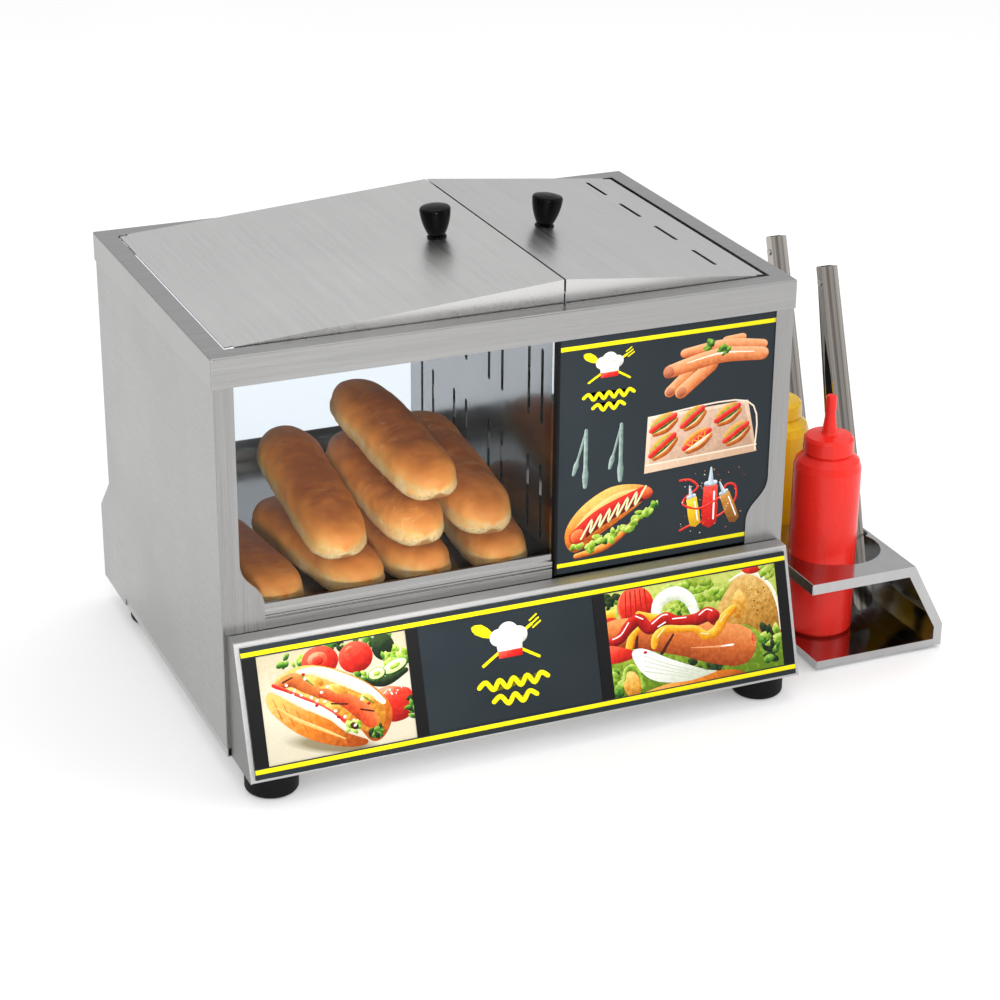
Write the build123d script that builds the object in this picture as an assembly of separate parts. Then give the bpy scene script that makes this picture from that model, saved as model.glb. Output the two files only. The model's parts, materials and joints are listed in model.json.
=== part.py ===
from build123d import *
import os
from math import atan2, degrees, hypot

# Counter-top hot dog steamer: a sheet-steel cabinet with a glazed bun bay on the left, a sausage
# bay over a water bath on the right, two hinged lids, an operator's control housing at the rear,
# and a loose condiment stand beside it that holds two sauce bottles and two pairs of tongs.
#
# Millimetres. The customer's side faces -Y, +X is to the customer's right, +Z is up. Every part is
# drawn about the middle of the cabinet's top frame, at counter level, and the finished parts are
# then moved together, so that the origin is the middle of the footprint of cabinet and stand.

# ---------------------------------------------------------------- driving dimensions
SHEET = 1.0             # stainless sheet
BEND = 2.0              # outer radius of a fold
RUNNING = 0.05          # radial clearance of a part that turns in a hole
CLEAR = 0.1             # clearance between parts that only pass each other

FOOTPRINT_MIDDLE = (91.0, 15.4)     # middle of cabinet and stand, from the cabinet's own middle

CABINET_W = 570.0       # over the top frame
CABINET_D = 384.0
CABINET_H = 411.0       # counter to the top of the frame
SKIRT_H = 28.0          # visible height of the top frame's skirt
LID_GAP = 1.5           # top frame stands this far outside the side panels

SIDE_X = CABINET_W / 2 - LID_GAP            # outer face of a side panel
FRONT_Y = -CABINET_D / 2 + SHEET            # outer face of the front posts
REAR_Y = CABINET_D / 2 - LID_GAP            # outer face of the rear panel
SIDE_BOTTOM = 33.0      # lower edge of the side panels
LEDGE_Z = 147.0         # shelf between the window and the sign box
GLASS_BOTTOM = 170.0    # lower edge of the clear window
POST_W = 18.5           # width of the front posts beside the window
POST_FOOT_W = 40.5      # the posts widen to this at the ledge
POST_STRIP_W = 8.0      # and narrow to this below it

HOUSING_Y = 228.0       # rear face of the control housing
HOUSING_TOP = 106.0     # top of its vertical face, below the 45 degree slope
HOUSING_BOTTOM = 25.0

SIGN_TOP_Y = -208.5     # upper edge of the sloping sign box
SIGN_BOTTOM_Y = -248.0
SIGN_BOTTOM_Z = 24.0
SIGN_W = 558.0
SIGN_HEM = 16.0         # hem folded back under the sign box

FOOT_H = 24.0
FOOT_D = 50.0
FOOT_X = 250.0
FOOT_YS = (-217.0, 160.0)

OPENING_X = 266.5       # half width of the lid opening
OPENING_Y = 172.0       # half depth
SEAM_X = 56.5           # line where the two lids meet
LID_PEAK = 433.0
LID_Y = 170.0           # half depth of a lid
LID_RIM = 400.0         # lower edge of the lid skirts
HINGE_Z = 407.0
LEFT_EDGE_X = -264.5    # outer edges of the lids and their hinge axes
LEFT_HINGE_X = -260.5
RIGHT_EDGE_X = 262.0
RIGHT_HINGE_X = 258.0
HINGE_PIN_R = 2.0

PARTITION_X = 44.0
GLASS_T = 4.0
BOARD_T = 3.0
TANK_BOTTOM = 45.0
TANK_TOP = 140.0

BOTTLE_R = 34.0
CAP_R = 25.5
STAND_FRONT = -207.0
STAND_BACK = 46.0
STAND_TOP = 97.0
STAND_SHELF = 11.0
BOTTLE_X = 366.0
ROW_PITCH = 106.0       # between the front and rear places of the stand
FRONT_ROW_Y = -132.0
TONGS_FOOT = (415.0, -110.0, STAND_TOP)     # where the front tongs pass the upper shelf
TONGS_HEAD = (415.0, -24.0, 356.0)          # their closed end
TONGS_SPREAD = 5.0      # degrees between the arms at rest


# ---------------------------------------------------------------- helpers
def block(x0, x1, y0, y1, z0, z1):
    """Box between two corners."""
    box = Box(abs(x1 - x0), abs(y1 - y0), abs(z1 - z0))
    return Pos((x0 + x1) / 2, (y0 + y1) / 2, (z0 + z1) / 2) * box


def rod_x(r, x0, x1, y, z):
    return Pos((x0 + x1) / 2, y, z) * Rot(0, 90, 0) * Cylinder(r, abs(x1 - x0))


def rod_y(r, y0, y1, x, z):
    return Pos(x, (y0 + y1) / 2, z) * Rot(90, 0, 0) * Cylinder(r, abs(y1 - y0))


def rod_z(r, z0, z1, x, y):
    return Pos(x, y, (z0 + z1) / 2) * Cylinder(r, abs(z1 - z0))


def prism_x(points, x0, x1):
    """Polygon of (y, z) points, run along X."""
    face = make_face(Plane.YZ * Polyline(*points, close=True))
    return Pos(x0, 0, 0) * extrude(face, amount=x1 - x0, dir=(1, 0, 0))


def prism_y(points, y0, y1):
    """Polygon of (x, z) points, run along Y."""
    face = make_face(Plane.XZ * Polyline(*points, close=True))
    return Pos(0, y0, 0) * extrude(face, amount=y1 - y0, dir=(0, 1, 0))


def slot_x(x0, x1, y, z0, z1, width):
    """Upright round-ended slot cut through a sheet whose normal is X."""
    r = width / 2
    middle = block(x0, x1, y - r, y + r, z0 + r, z1 - r)
    return middle + rod_x(r, x0, x1, y, z0 + r) + rod_x(r, x0, x1, y, z1 - r)


def offset_line(points, distance):
    """Shift an open line of 2-D points to its left, with mitred corners."""
    shifted = []
    for i, point in enumerate(points):
        normals = []
        for a, b in ((i - 1, i), (i, i + 1)):
            if a < 0 or b >= len(points):
                continue
            dx, dy = points[b][0] - points[a][0], points[b][1] - points[a][1]
            length = hypot(dx, dy)
            normals.append((-dy / length, dx / length))
        nx = sum(n[0] for n in normals) / len(normals)
        ny = sum(n[1] for n in normals) / len(normals)
        scale = distance / (nx * nx + ny * ny)
        shifted.append((point[0] + nx * scale, point[1] + ny * scale))
    return shifted


def folded_face(points, plane, thickness=SHEET, bend=BEND):
    """Section of a folded sheet whose outer line is points, with its thickness to the left."""
    outer = FilletPolyline(*points, radius=bend)
    inner_points = offset_line(points, thickness)
    inner = FilletPolyline(*inner_points, radius=max(bend - thickness, 0.3))
    ends = [Line(points[0], inner_points[0]), Line(points[-1], inner_points[-1])]
    return plane * make_face(outer.edges() + inner.edges() + ends)


def folded_x(points, x0, x1, thickness=SHEET, bend=BEND):
    """Folded sheet with a (y, z) section, run along X."""
    face = folded_face(points, Plane.YZ, thickness, bend)
    return Pos(x0, 0, 0) * extrude(face, amount=x1 - x0, dir=(1, 0, 0))


def folded_y(points, y0, y1, thickness=SHEET, bend=BEND):
    """Folded sheet with an (x, z) section, run along Y."""
    face = folded_face(points, Plane.XZ, thickness, bend)
    return Pos(0, y0, 0) * extrude(face, amount=y1 - y0, dir=(0, 1, 0))


def group(shapes):
    """Separate solids that share one node."""
    return Compound(children=[solid for shape in shapes for solid in shape.solids()])


# ---------------------------------------------------------------- cabinet shell
def post_outline():
    """Front post, one edge an ogee that widens the post towards the ledge; x measured inwards."""
    inner, foot, strip = POST_W, POST_FOOT_W, POST_STRIP_W
    top = CABINET_H - 2
    lower = Polyline((inner, top), (0, top), (0, SIDE_BOTTOM), (strip, SIDE_BOTTOM), (strip, LEDGE_Z),
                     (foot, LEDGE_Z), (foot, GLASS_BOTTOM))
    ogee = Spline((foot, GLASS_BOTTOM), (inner, 215), tangents=((0, 1), (0, 1)))
    rise = Line((inner, 215), (inner, top))
    return make_face(lower.edges() + ogee.edges() + rise.edges())


def side_panel():
    """Left side panel: skin, front post and rear return folded from one sheet."""
    top = CABINET_H - 2
    skin_outline = [(FRONT_Y, SIDE_BOTTOM), (148, SIDE_BOTTOM), (148, HOUSING_BOTTOM),
                    (HOUSING_Y, HOUSING_BOTTOM), (HOUSING_Y, HOUSING_TOP),
                    (REAR_Y, HOUSING_TOP + HOUSING_Y - REAR_Y), (REAR_Y, top), (FRONT_Y, top)]
    skin = prism_x(skin_outline, -SIDE_X, -SIDE_X + SHEET)
    post = Pos(-SIDE_X, FRONT_Y, 0) * extrude(Plane.XZ * post_outline(), amount=SHEET, dir=(0, 1, 0))
    rear_return = block(-SIDE_X, -SIDE_X + 15, REAR_Y - SHEET, REAR_Y,
                        HOUSING_TOP + HOUSING_Y - REAR_Y, top)
    panel = skin + post + rear_return
    front_fold = panel.edges().filter_by(Axis.Z).filter_by(
        lambda e: abs(e.center().X + SIDE_X) < 0.01 and abs(e.center().Y - FRONT_Y) < 0.01)
    return fillet(front_fold, SHEET * 0.9)


def top_frame():
    """Rectangular collar round the lids: outer skirt, top flange, inner lip and a ledge."""
    half_w, half_d = CABINET_W / 2, CABINET_D / 2
    low = CABINET_H - SKIRT_H
    outer = block(-half_w, half_w, -half_d, half_d, low, CABINET_H)
    outer = fillet(outer.edges().filter_by(Axis.Z) + outer.faces().sort_by(Axis.Z)[-1].edges(), 1.5)
    hollow = block(-half_w + SHEET, half_w - SHEET, -half_d + SHEET, half_d - SHEET,
                   low - 1, CABINET_H - SHEET)
    opening = block(-OPENING_X, OPENING_X, -OPENING_Y, OPENING_Y, low - 1, CABINET_H + 1)
    frame = outer - hollow - opening
    lip = block(-OPENING_X - SHEET, OPENING_X + SHEET, -OPENING_Y - SHEET, OPENING_Y + SHEET,
                LID_RIM - 2, CABINET_H)
    frame = frame + (lip - opening)
    for side in (-1, 1):
        edge = side * OPENING_Y
        frame = frame + block(-245, 240, edge, edge - side * 6, LID_RIM - 2, LID_RIM - 1)
        for x in (LEFT_HINGE_X, RIGHT_HINGE_X):
            frame = frame - rod_y(HINGE_PIN_R, edge - 4, edge + 4, x, HINGE_Z)
    return frame


def lid_hinge_pins():
    """Four short pins pressed into the frame's inner lip."""
    pins = []
    for side in (-1, 1):
        for x in (LEFT_HINGE_X, RIGHT_HINGE_X):
            pin = rod_y(HINGE_PIN_R, side * 166, side * 176, x, HINGE_Z)
            head = rod_y(2.9, side * (OPENING_Y + SHEET), side * 176, x, HINGE_Z)
            pins.append(pin + head)
    return group(pins)


def base_pan():
    """Folded floor of the cabinet, with a tongue that runs forward under the sign box."""
    inner_x = SIDE_X - SHEET - CLEAR
    floor = block(-inner_x, inner_x, FRONT_Y + SHEET, 186, SIGN_BOTTOM_Z, SIGN_BOTTOM_Z + SHEET)
    front = SIGN_BOTTOM_Y + SIGN_HEM + 0.2
    tongue_x = SIGN_W / 2 - SHEET - CLEAR
    pan = floor + block(-tongue_x, tongue_x, front, FRONT_Y + SHEET, SIGN_BOTTOM_Z, SIGN_BOTTOM_Z + SHEET)
    for side in (-1, 1):
        pan = pan + block(side * (inner_x - SHEET), side * inner_x, FRONT_Y + SHEET, 186,
                          SIGN_BOTTOM_Z, 60)
    pan = pan + block(-270, 270, FRONT_Y + SHEET, FRONT_Y + 2 * SHEET, SIGN_BOTTOM_Z, 135)
    for x in (-FOOT_X, FOOT_X):
        for y in FOOT_YS:
            pan = pan - rod_z(3.2, 20, 30, x, y)
    return pan


def feet():
    """Round rubber feet with a counterbore for their screw."""
    made = []
    for x in (-FOOT_X, FOOT_X):
        for y in FOOT_YS:
            foot = rod_z(FOOT_D / 2, 0, FOOT_H, 0, 0)
            foot = fillet(foot.edges().sort_by(Axis.Z)[0], 5)
            foot = chamfer(foot.edges().sort_by(Axis.Z)[-1], 1.5)
            foot = foot - rod_z(7, -1, 8, 0, 0) - rod_z(3.2, 0, 30, 0, 0)
            made.append(Pos(x, y, 0) * foot)
    return group(made)


def foot_screws():
    """Pan-head screws up through the feet, each with a nut on the base pan."""
    made = []
    for x in (-FOOT_X, FOOT_X):
        for y in FOOT_YS:
            screw = rod_z(6, 4, 8, x, y) + rod_z(3.0, 8, 33, x, y)
            nut = Pos(x, y, SIGN_BOTTOM_Z + SHEET) * extrude(RegularPolygon(5.5, 6), amount=5)
            made += [screw, nut - rod_z(3.0, 20, 40, x, y)]
    return group(made)


def rear_frame():
    """Rear wall with the window cut in it."""
    x = SIDE_X - SHEET - CLEAR
    y1 = REAR_Y - SHEET - CLEAR
    wall = block(-x, x, y1 - SHEET, y1, 144, CABINET_H - 2)
    window = block(-262, 262, y1 - 5, y1 + 5, GLASS_BOTTOM, CABINET_H - SKIRT_H)
    window = fillet(window.edges().filter_by(Axis.Y), 6)
    top_flange = block(-x, x, y1 - 8, y1, CABINET_H - 3, CABINET_H - 2)
    return wall - window + top_flange


def rear_glass():
    y1 = REAR_Y - 2 * SHEET - CLEAR
    return block(-275, 275, y1 - GLASS_T, y1, GLASS_BOTTOM - 10, 396)


CONTROL_X = {"thermostat": -70.0, "lamps": -5.0, "switch": 60.0, "reset": -140.0, "gland": 150.0,
             "drain": 240.0}
CONTROL_Z = 66.0
GLAND_Z = 50.0
DRAIN_Z = 56.0
LAMP_ZS = (54.0, 78.0)
VENT_COUNT = 8
VENT_PITCH = 7.0


def control_housing():
    """Folded cover of the rear control bay, with the cut-outs for its controls."""
    top_y = REAR_Y + SHEET
    line = [(187, HOUSING_BOTTOM), (HOUSING_Y, HOUSING_BOTTOM), (HOUSING_Y, HOUSING_TOP),
            (top_y, HOUSING_TOP + HOUSING_Y - top_y)]
    x = SIDE_X - SHEET - CLEAR
    cover = folded_x(line, -x, x)
    face = (HOUSING_Y - 6, HOUSING_Y + 6)
    cover = cover - rod_y(5.1, *face, CONTROL_X["thermostat"], CONTROL_Z)
    cover = cover - rod_y(4.1, *face, CONTROL_X["reset"], CONTROL_Z)
    cover = cover - rod_y(8.0, *face, CONTROL_X["gland"], GLAND_Z)
    cover = cover - rod_y(8.2, *face, CONTROL_X["drain"], DRAIN_Z)
    for z in LAMP_ZS:
        cover = cover - rod_y(5.0, *face, CONTROL_X["lamps"], z)
    x = CONTROL_X["switch"]
    cover = cover - block(x - 10.6, x + 10.6, *face, CONTROL_Z - 14.6, CONTROL_Z + 14.6)
    for x, z in panel_screw_places():
        cover = cover - rod_y(2.0, *face, x, z)
    for i in range(VENT_COUNT):
        vent_x = -232 + i * VENT_PITCH
        cover = cover - block(vent_x, vent_x + VENT_PITCH / 2, *face, 45, 90)
    return cover


def panel_screw_places():
    return [(x, z) for x in (-272.0, 0.0, 272.0) for z in (34.0, 97.0)]


def panel_screws():
    """Screws of the control cover."""
    made = []
    for x, z in panel_screw_places():
        head = rod_y(3.8, HOUSING_Y, HOUSING_Y + 2, x, z)
        head = fillet(head.edges().sort_by(Axis.Y)[-1], 1.2)
        made.append(head + rod_y(1.9, HOUSING_Y - 8, HOUSING_Y, x, z))
    return group(made)


# ---------------------------------------------------------------- front
def sign_slope():
    """Unit vector down the sign face and its outward normal, as (y, z)."""
    dy, dz = SIGN_BOTTOM_Y - SIGN_TOP_Y, SIGN_BOTTOM_Z - LEDGE_Z
    length = hypot(dy, dz)
    return (dy / length, dz / length), (dz / length, -dy / length), length


def sign_housing():
    """Sloping box along the foot of the cabinet, with a ledge on top and closed ends."""
    back = FRONT_Y - CLEAR
    line = [(back, LEDGE_Z - 12), (back, LEDGE_Z), (SIGN_TOP_Y, LEDGE_Z), (SIGN_BOTTOM_Y, SIGN_BOTTOM_Z),
            (SIGN_BOTTOM_Y + SIGN_HEM, SIGN_BOTTOM_Z)]
    half = SIGN_W / 2
    shell = folded_x(line, -half, half)
    cheek = [(back, LEDGE_Z - 0.8), (SIGN_TOP_Y, LEDGE_Z - 0.8), (SIGN_BOTTOM_Y + 0.8, SIGN_BOTTOM_Z + 0.5),
             (back, SIGN_BOTTOM_Z + 0.5)]
    for side in (-1, 1):
        shell = shell + prism_x(cheek, min(side * half, side * (half - SHEET)),
                                max(side * half, side * (half - SHEET)))
    return shell


def sign_panel():
    """Printed plate that lies on the slope inside a narrow steel rim."""
    down, out, length = sign_slope()
    start, end, thick = 5.0, length - 4.0, 2.0
    top = (SIGN_TOP_Y + down[0] * start, LEDGE_Z + down[1] * start)
    low = (SIGN_TOP_Y + down[0] * end, LEDGE_Z + down[1] * end)
    corners = [top, low, (low[0] + out[0] * thick, low[1] + out[1] * thick),
               (top[0] + out[0] * thick, top[1] + out[1] * thick)]
    return prism_x(corners, -SIGN_W / 2 + 4.5, SIGN_W / 2 - 4.5)


def window_rail():
    """Stepped sill under the clear window."""
    front = FRONT_Y + 0.2
    outline = [(front + 7.6, LEDGE_Z + CLEAR), (front, LEDGE_Z + CLEAR), (front, 156.5), (front + 2, 157.5),
               (front + 2, 159), (front + 3, 159), (front + 3, 160.5), (front + 2, 160.5), (front + 2, 163),
               (front + 4, 164.5), (front + 4, GLASS_BOTTOM), (front + 7.6, GLASS_BOTTOM)]
    rail = prism_x(outline, -SIDE_X + POST_FOOT_W + CLEAR, 40)
    return chamfer(rail.edges().filter_by(Axis.Z).group_by(Axis.X)[-1].sort_by(Axis.Y)[0], 1.0)


def front_glass():
    return block(-281, 41.2, -182.8, -182.8 + GLASS_T, LEDGE_Z + 2, 396)


def menu_board():
    """Printed board that closes the sausage bay's front."""
    y0 = FRONT_Y + SHEET + CLEAR
    return block(43.6, 281, y0, y0 + BOARD_T, LEDGE_Z + 2, 396)


def board_edge_seal():
    """Black edge strip between the window and the board."""
    y0 = FRONT_Y + SHEET + CLEAR
    strip = block(41.4, 43.5, y0 - 0.8, -178, LEDGE_Z + 2, 396)
    return strip


def glass_clips():
    """Small angle clips behind the top corners of the window and the board."""
    made = []
    for x, back in ((-270, -182.8 + GLASS_T), (25, -182.8 + GLASS_T), (60, FRONT_Y + SHEET + CLEAR + BOARD_T),
                    (266, FRONT_Y + SHEET + CLEAR + BOARD_T)):
        foot = block(x - 6, x + 6, back, back + 1, 380, 395)
        arm = block(x - 6, x + 6, back, -174, 394, 395)
        made.append(foot + arm)
    return group(made)


# ---------------------------------------------------------------- inside the cabinet
SLOT_YS = (-151.0, -121.0, -58.0, -25.5, 32.2, 63.7, 120.5, 151.0)
SLOT_ROWS = ((171.0, 246.0), (287.0, 362.0))


def partition():
    """Wall between the bays; steam crosses it through two rows of slots."""
    x0, x1 = PARTITION_X, PARTITION_X + SHEET
    wall = block(x0, x1, -177.8, 184, 61, 404)
    for z0, z1 in SLOT_ROWS:
        for y in SLOT_YS:
            wall = wall - slot_x(x0 - 1, x1 + 1, y, z0, z1, 6)
    wall = wall + block(x0, x0 + 12, -165, 165, 403, 404)
    for end in (-1, 1):
        wall = wall - block(x0 - 1, x0 + 13, end * 163, end * 190, 392, 406)
    return wall


def bun_floor():
    """Polished floor of the bun bay, folded down at the front and rear."""
    x0, x1 = -SIDE_X + SHEET + CLEAR, PARTITION_X - CLEAR
    floor = block(x0, x1, -178, 184, LEDGE_Z - SHEET, LEDGE_Z)
    for y in (-178, 184 - SHEET):
        floor = floor + block(x0, x1, y, y + SHEET, LEDGE_Z - 12, LEDGE_Z)
    return floor


TANK = (52.0, 275.0, -176.0, 140.0)     # x0, x1, y0, y1 outside


def water_tank():
    """Deep-drawn water bath under the sausage basket."""
    x0, x1, y0, y1 = TANK
    body = block(x0, x1, y0, y1, TANK_BOTTOM, TANK_TOP)
    body = fillet(body.edges().filter_by(Axis.Z), 15)
    inner = block(x0 + SHEET, x1 - SHEET, y0 + SHEET, y1 - SHEET, TANK_BOTTOM + SHEET, TANK_TOP + 5)
    inner = fillet(inner.edges().filter_by(Axis.Z), 14)
    rim = block(x0 - 4, x1 + 4, y0 - 1, y1 + 4, TANK_TOP - SHEET, TANK_TOP)
    tank = body + rim - inner
    for x in ELEMENT_XS:
        tank = tank - rod_y(4.1, y1 - 4, y1 + 4, x, ELEMENT_Z)
    return tank - rod_y(6, y1 - 4, y1 + 4, CONTROL_X["drain"], DRAIN_Z)


def tank_supports():
    """Two channel-shaped rails the tank stands on."""
    made = []
    for x in (90.0, 210.0):
        line = [(x, SIGN_BOTTOM_Z + SHEET), (x, TANK_BOTTOM), (x + 22, TANK_BOTTOM),
                (x + 22, SIGN_BOTTOM_Z + SHEET)]
        made.append(folded_y(line, -150, 110, thickness=-1.2))
    return group(made)


ELEMENT_XS = (110.0, 210.0)
ELEMENT_Z = 62.0
ELEMENT_R = 4.0


def heating_element():
    """Hairpin tubular element on the bottom of the water bath, its ends in the control bay."""
    y_rear, y_front = TANK[3] + 20, -112.0
    radius = (ELEMENT_XS[1] - ELEMENT_XS[0]) / 2
    path = Polyline((ELEMENT_XS[0], y_rear, ELEMENT_Z), (ELEMENT_XS[0], y_front, ELEMENT_Z))
    bend = ThreePointArc((ELEMENT_XS[0], y_front, ELEMENT_Z),
                         ((ELEMENT_XS[0] + ELEMENT_XS[1]) / 2, y_front - radius, ELEMENT_Z),
                         (ELEMENT_XS[1], y_front, ELEMENT_Z))
    back = Line((ELEMENT_XS[1], y_front, ELEMENT_Z), (ELEMENT_XS[1], y_rear, ELEMENT_Z))
    wire = Wire(path.edges() + bend.edges() + back.edges())
    section = Plane(origin=(ELEMENT_XS[0], y_rear, ELEMENT_Z), z_dir=(0, -1, 0)) * Circle(ELEMENT_R)
    return sweep(section, path=wire)


def element_glands():
    """Brass nuts that seal the element's legs in the tank wall."""
    made = []
    for x in ELEMENT_XS:
        nut = Pos(x, TANK[3], ELEMENT_Z) * Rot(-90, 0, 0) * extrude(RegularPolygon(9, 6), amount=6)
        made.append(nut - rod_y(ELEMENT_R + RUNNING, TANK[3] - 2, TANK[3] + 10, x, ELEMENT_Z))
    return group(made)


def basket_rails():
    """Angle rails on both sides of the sausage bay that carry the basket's rim."""
    left = folded_y([(PARTITION_X + SHEET, 214), (PARTITION_X + SHEET, 228), (PARTITION_X + 13, 228)],
                    -160, 130, thickness=-1.2)
    inner = SIDE_X - SHEET
    right = folded_y([(inner - 22, 228), (inner, 228), (inner, 214)], -160, 130, thickness=-1.2)
    return group([left, right])


def sausage_basket():
    """Lift-out basket with slotted walls, a turned-out rim and two wire handles."""
    x0, x1, y0, y1, low, rim = 60.0, 256.0, -158.0, 128.0, 150.0, 228.1
    box = block(x0, x1, y0, y1, low, rim + SHEET)
    box = fillet(box.edges().filter_by(Axis.Z), 8)
    inner = block(x0 + SHEET, x1 - SHEET, y0 + SHEET, y1 - SHEET, low + SHEET, rim + 5)
    inner = fillet(inner.edges().filter_by(Axis.Z), 7)
    edge = block(x0 - 12, x1 + 12, y0 - 2, y1 + 2, rim, rim + SHEET)
    basket = box + edge - inner
    for i in range(9):
        x = x0 + 26 + i * 18
        basket = basket - block(x - 3, x + 3, y0 + 20, y1 - 20, low - 1, low + 2)
        basket = basket - block(x - 3, x + 3, y0 - 1, y1 + 1, low + 16, rim - 16)
    for y in (y0 + 6, y1 - 6):
        ends = (x0 + 70, x1 - 70)
        arch = FilletPolyline((ends[0], y, rim - 6), (ends[0], y, rim + 40), (ends[1], y, rim + 40),
                              (ends[1], y, rim - 6), radius=10)
        section = Plane(origin=(ends[0], y, rim - 6), z_dir=(0, 0, 1)) * Circle(2)
        handle = sweep(section, path=arch)
        basket = basket + handle
        for x in ends:
            tie = (y0, y + 2) if y < 0 else (y - 2, y1)
            basket = basket + block(x - 2, x + 2, *tie, rim - 6, rim - 2)
    return basket


def drain_valve():
    """Drain pipe from the bath through the rear cover, with a lever ball valve on its end."""
    x = CONTROL_X["drain"]
    pipe = rod_y(8, TANK[3], 246, x, DRAIN_Z)
    bonnet = rod_z(6, DRAIN_Z, DRAIN_Z + 17, x, 246)
    body = rod_y(13, 234, 258, x, DRAIN_Z)
    body = chamfer(body.edges().filter_by(GeomType.CIRCLE), 2)
    outlet = rod_y(8, 258, 272, x, DRAIN_Z)
    flange = rod_y(12, TANK[3], TANK[3] + 4, x, DRAIN_Z)
    valve = pipe + body + outlet + flange + bonnet - rod_y(6, TANK[3] - 1, 273, x, DRAIN_Z)
    return valve - rod_z(3 + RUNNING, DRAIN_Z + 9, DRAIN_Z + 20, x, 246)


def drain_lever():
    """Flat lever on the valve's stem; it lies across the pipe when the valve is shut."""
    x, z = CONTROL_X["drain"], DRAIN_Z + 17
    stem = rod_z(3, z - 7, z + 4, x, 246)
    arm = block(x - 52, x, 241, 251, z + 1, z + 4)
    hub = rod_z(7, z + 1, z + 4, x, 246)
    grip = block(x - 56, x - 16, 239.5, 252.5, z + 0.2, z + 5.5)
    grip = fillet(grip.edges().filter_by(Axis.Z), 5)
    return stem + arm + hub + grip


def thermostat_body():
    """Bath thermostat with its threaded bush through the rear cover."""
    x, z = CONTROL_X["thermostat"], CONTROL_Z
    case = block(x - 20, x + 20, 190, 219, z - 20, z + 20)
    case = fillet(case.edges().filter_by(Axis.Y), 3)
    bush = rod_y(5, 219, HOUSING_Y + 1, x, z)
    return case + bush - rod_y(3 + RUNNING, 200, 240, x, z)


def thermostat_bulb():
    """Sensing bulb under the bath and the capillary that joins it to the thermostat."""
    z = TANK_BOTTOM - 5.5
    bulb = rod_y(3.5, 40, 120, 160, z)
    case = (CONTROL_X["thermostat"] + 20.5, 205, CONTROL_Z)
    path = Spline((160, 120, z), (150, 150, z), (60, 185, 45), (0, 203, 60), case,
                  tangents=((0, 1, 0), (-1, 0, 0)))
    section = Plane(origin=(160, 120, z), z_dir=(0, 1, 0)) * Circle(1.2)
    return bulb + sweep(section, path=path)


def safety_thermostat():
    """Boil-dry cut-out with a bush for its reset button."""
    x, z = CONTROL_X["reset"], CONTROL_Z
    case = rod_y(12, 196, 222, x, z) + rod_y(4, 222, HOUSING_Y + 1, x, z)
    return case - rod_y(2.5 + RUNNING, 206, 240, x, z)


def reset_button():
    x, z = CONTROL_X["reset"], CONTROL_Z
    cap = rod_y(6, HOUSING_Y + 3.5, HOUSING_Y + 6.5, x, z)
    cap = fillet(cap.edges().sort_by(Axis.Y)[-1], 1.4)
    return rod_y(2.5, 212, HOUSING_Y + 4, x, z) + cap


def thermostat_knob():
    """Fluted dial knob with a raised pointer, on the thermostat's spindle."""
    x, z = CONTROL_X["thermostat"], CONTROL_Z
    y0, y1 = HOUSING_Y + 2, HOUSING_Y + 20
    skirt = rod_y(20, y0, y0 + 5, x, z)
    grip = rod_y(16, y0 + 5, y1, x, z)
    grip = fillet(grip.edges().sort_by(Axis.Y)[-1], 2)
    knob = skirt + grip
    for i in range(18):
        flute = Rot(0, i * 20, 0) * Pos(0, 0, 17.2) * Rot(90, 0, 0) * Cylinder(2.0, 30)
        knob = knob - Pos(x, y0 + 5 + 15, z) * flute
    pointer = block(x - 1.2, x + 1.2, y1 - 1, y1 + 0.8, z + 3, z + 14)
    return knob + pointer + rod_y(3, 204, y0 + 1, x, z)


def pilot_lamps():
    """Two panel lamps, power below and heating above."""
    made = []
    for z in LAMP_ZS:
        x = CONTROL_X["lamps"]
        lens = rod_y(6.5, HOUSING_Y, HOUSING_Y + 3, x, z)
        lens = fillet(lens.edges().sort_by(Axis.Y)[-1], 2)
        made.append(lens + rod_y(4.9, 212, HOUSING_Y, x, z))
    return group(made)


ROCKER_Y = HOUSING_Y - 1.0


def switch_body():
    """Snap-in housing of the mains switch."""
    x, z = CONTROL_X["switch"], CONTROL_Z
    bezel = block(x - 13, x + 13, HOUSING_Y, HOUSING_Y + 2, z - 17, z + 17)
    bezel = fillet(bezel.edges().filter_by(Axis.Y), 2)
    case = block(x - 10.5, x + 10.5, 206, HOUSING_Y, z - 14.5, z + 14.5)
    return bezel + case - rod_x(13, x - 8.2, x + 8.2, ROCKER_Y, z)


def power_rocker():
    """Rocker that pivots inside the switch housing; its top half is pressed at rest."""
    x, z = CONTROL_X["switch"], CONTROL_Z
    outline = [(-2, -12), (4.0, -11.6), (2.2, 0), (4.0, 11.6), (-2, 12)]
    rocker = prism_x(outline, -8, 8)
    return Pos(x, ROCKER_Y, z) * Rot(10, 0, 0) * rocker


def terminal_block():
    """Row of screw terminals on the base of the control bay."""
    block_body = block(0, 62, 200, 218, HOUSING_BOTTOM + SHEET, HOUSING_BOTTOM + 16)
    for i in range(5):
        block_body = block_body - rod_z(3, HOUSING_BOTTOM + 9, HOUSING_BOTTOM + 20, 8 + i * 11.5, 209)
    return block_body


def cable_gland():
    x = CONTROL_X["gland"]
    nut = Pos(x, HOUSING_Y, GLAND_Z) * Rot(-90, 0, 0) * extrude(RegularPolygon(11, 6), amount=6)
    nose = rod_y(8, HOUSING_Y + 6, HOUSING_Y + 13, x, GLAND_Z)
    nose = fillet(nose.edges().sort_by(Axis.Y)[-1], 2)
    inner = rod_y(7.9, HOUSING_Y - 8, HOUSING_Y, x, GLAND_Z) + rod_y(11, 220, HOUSING_Y - SHEET, x, GLAND_Z)
    return nut + nose + inner - rod_y(CORD_R + RUNNING, 210, 250, x, GLAND_Z)


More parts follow.
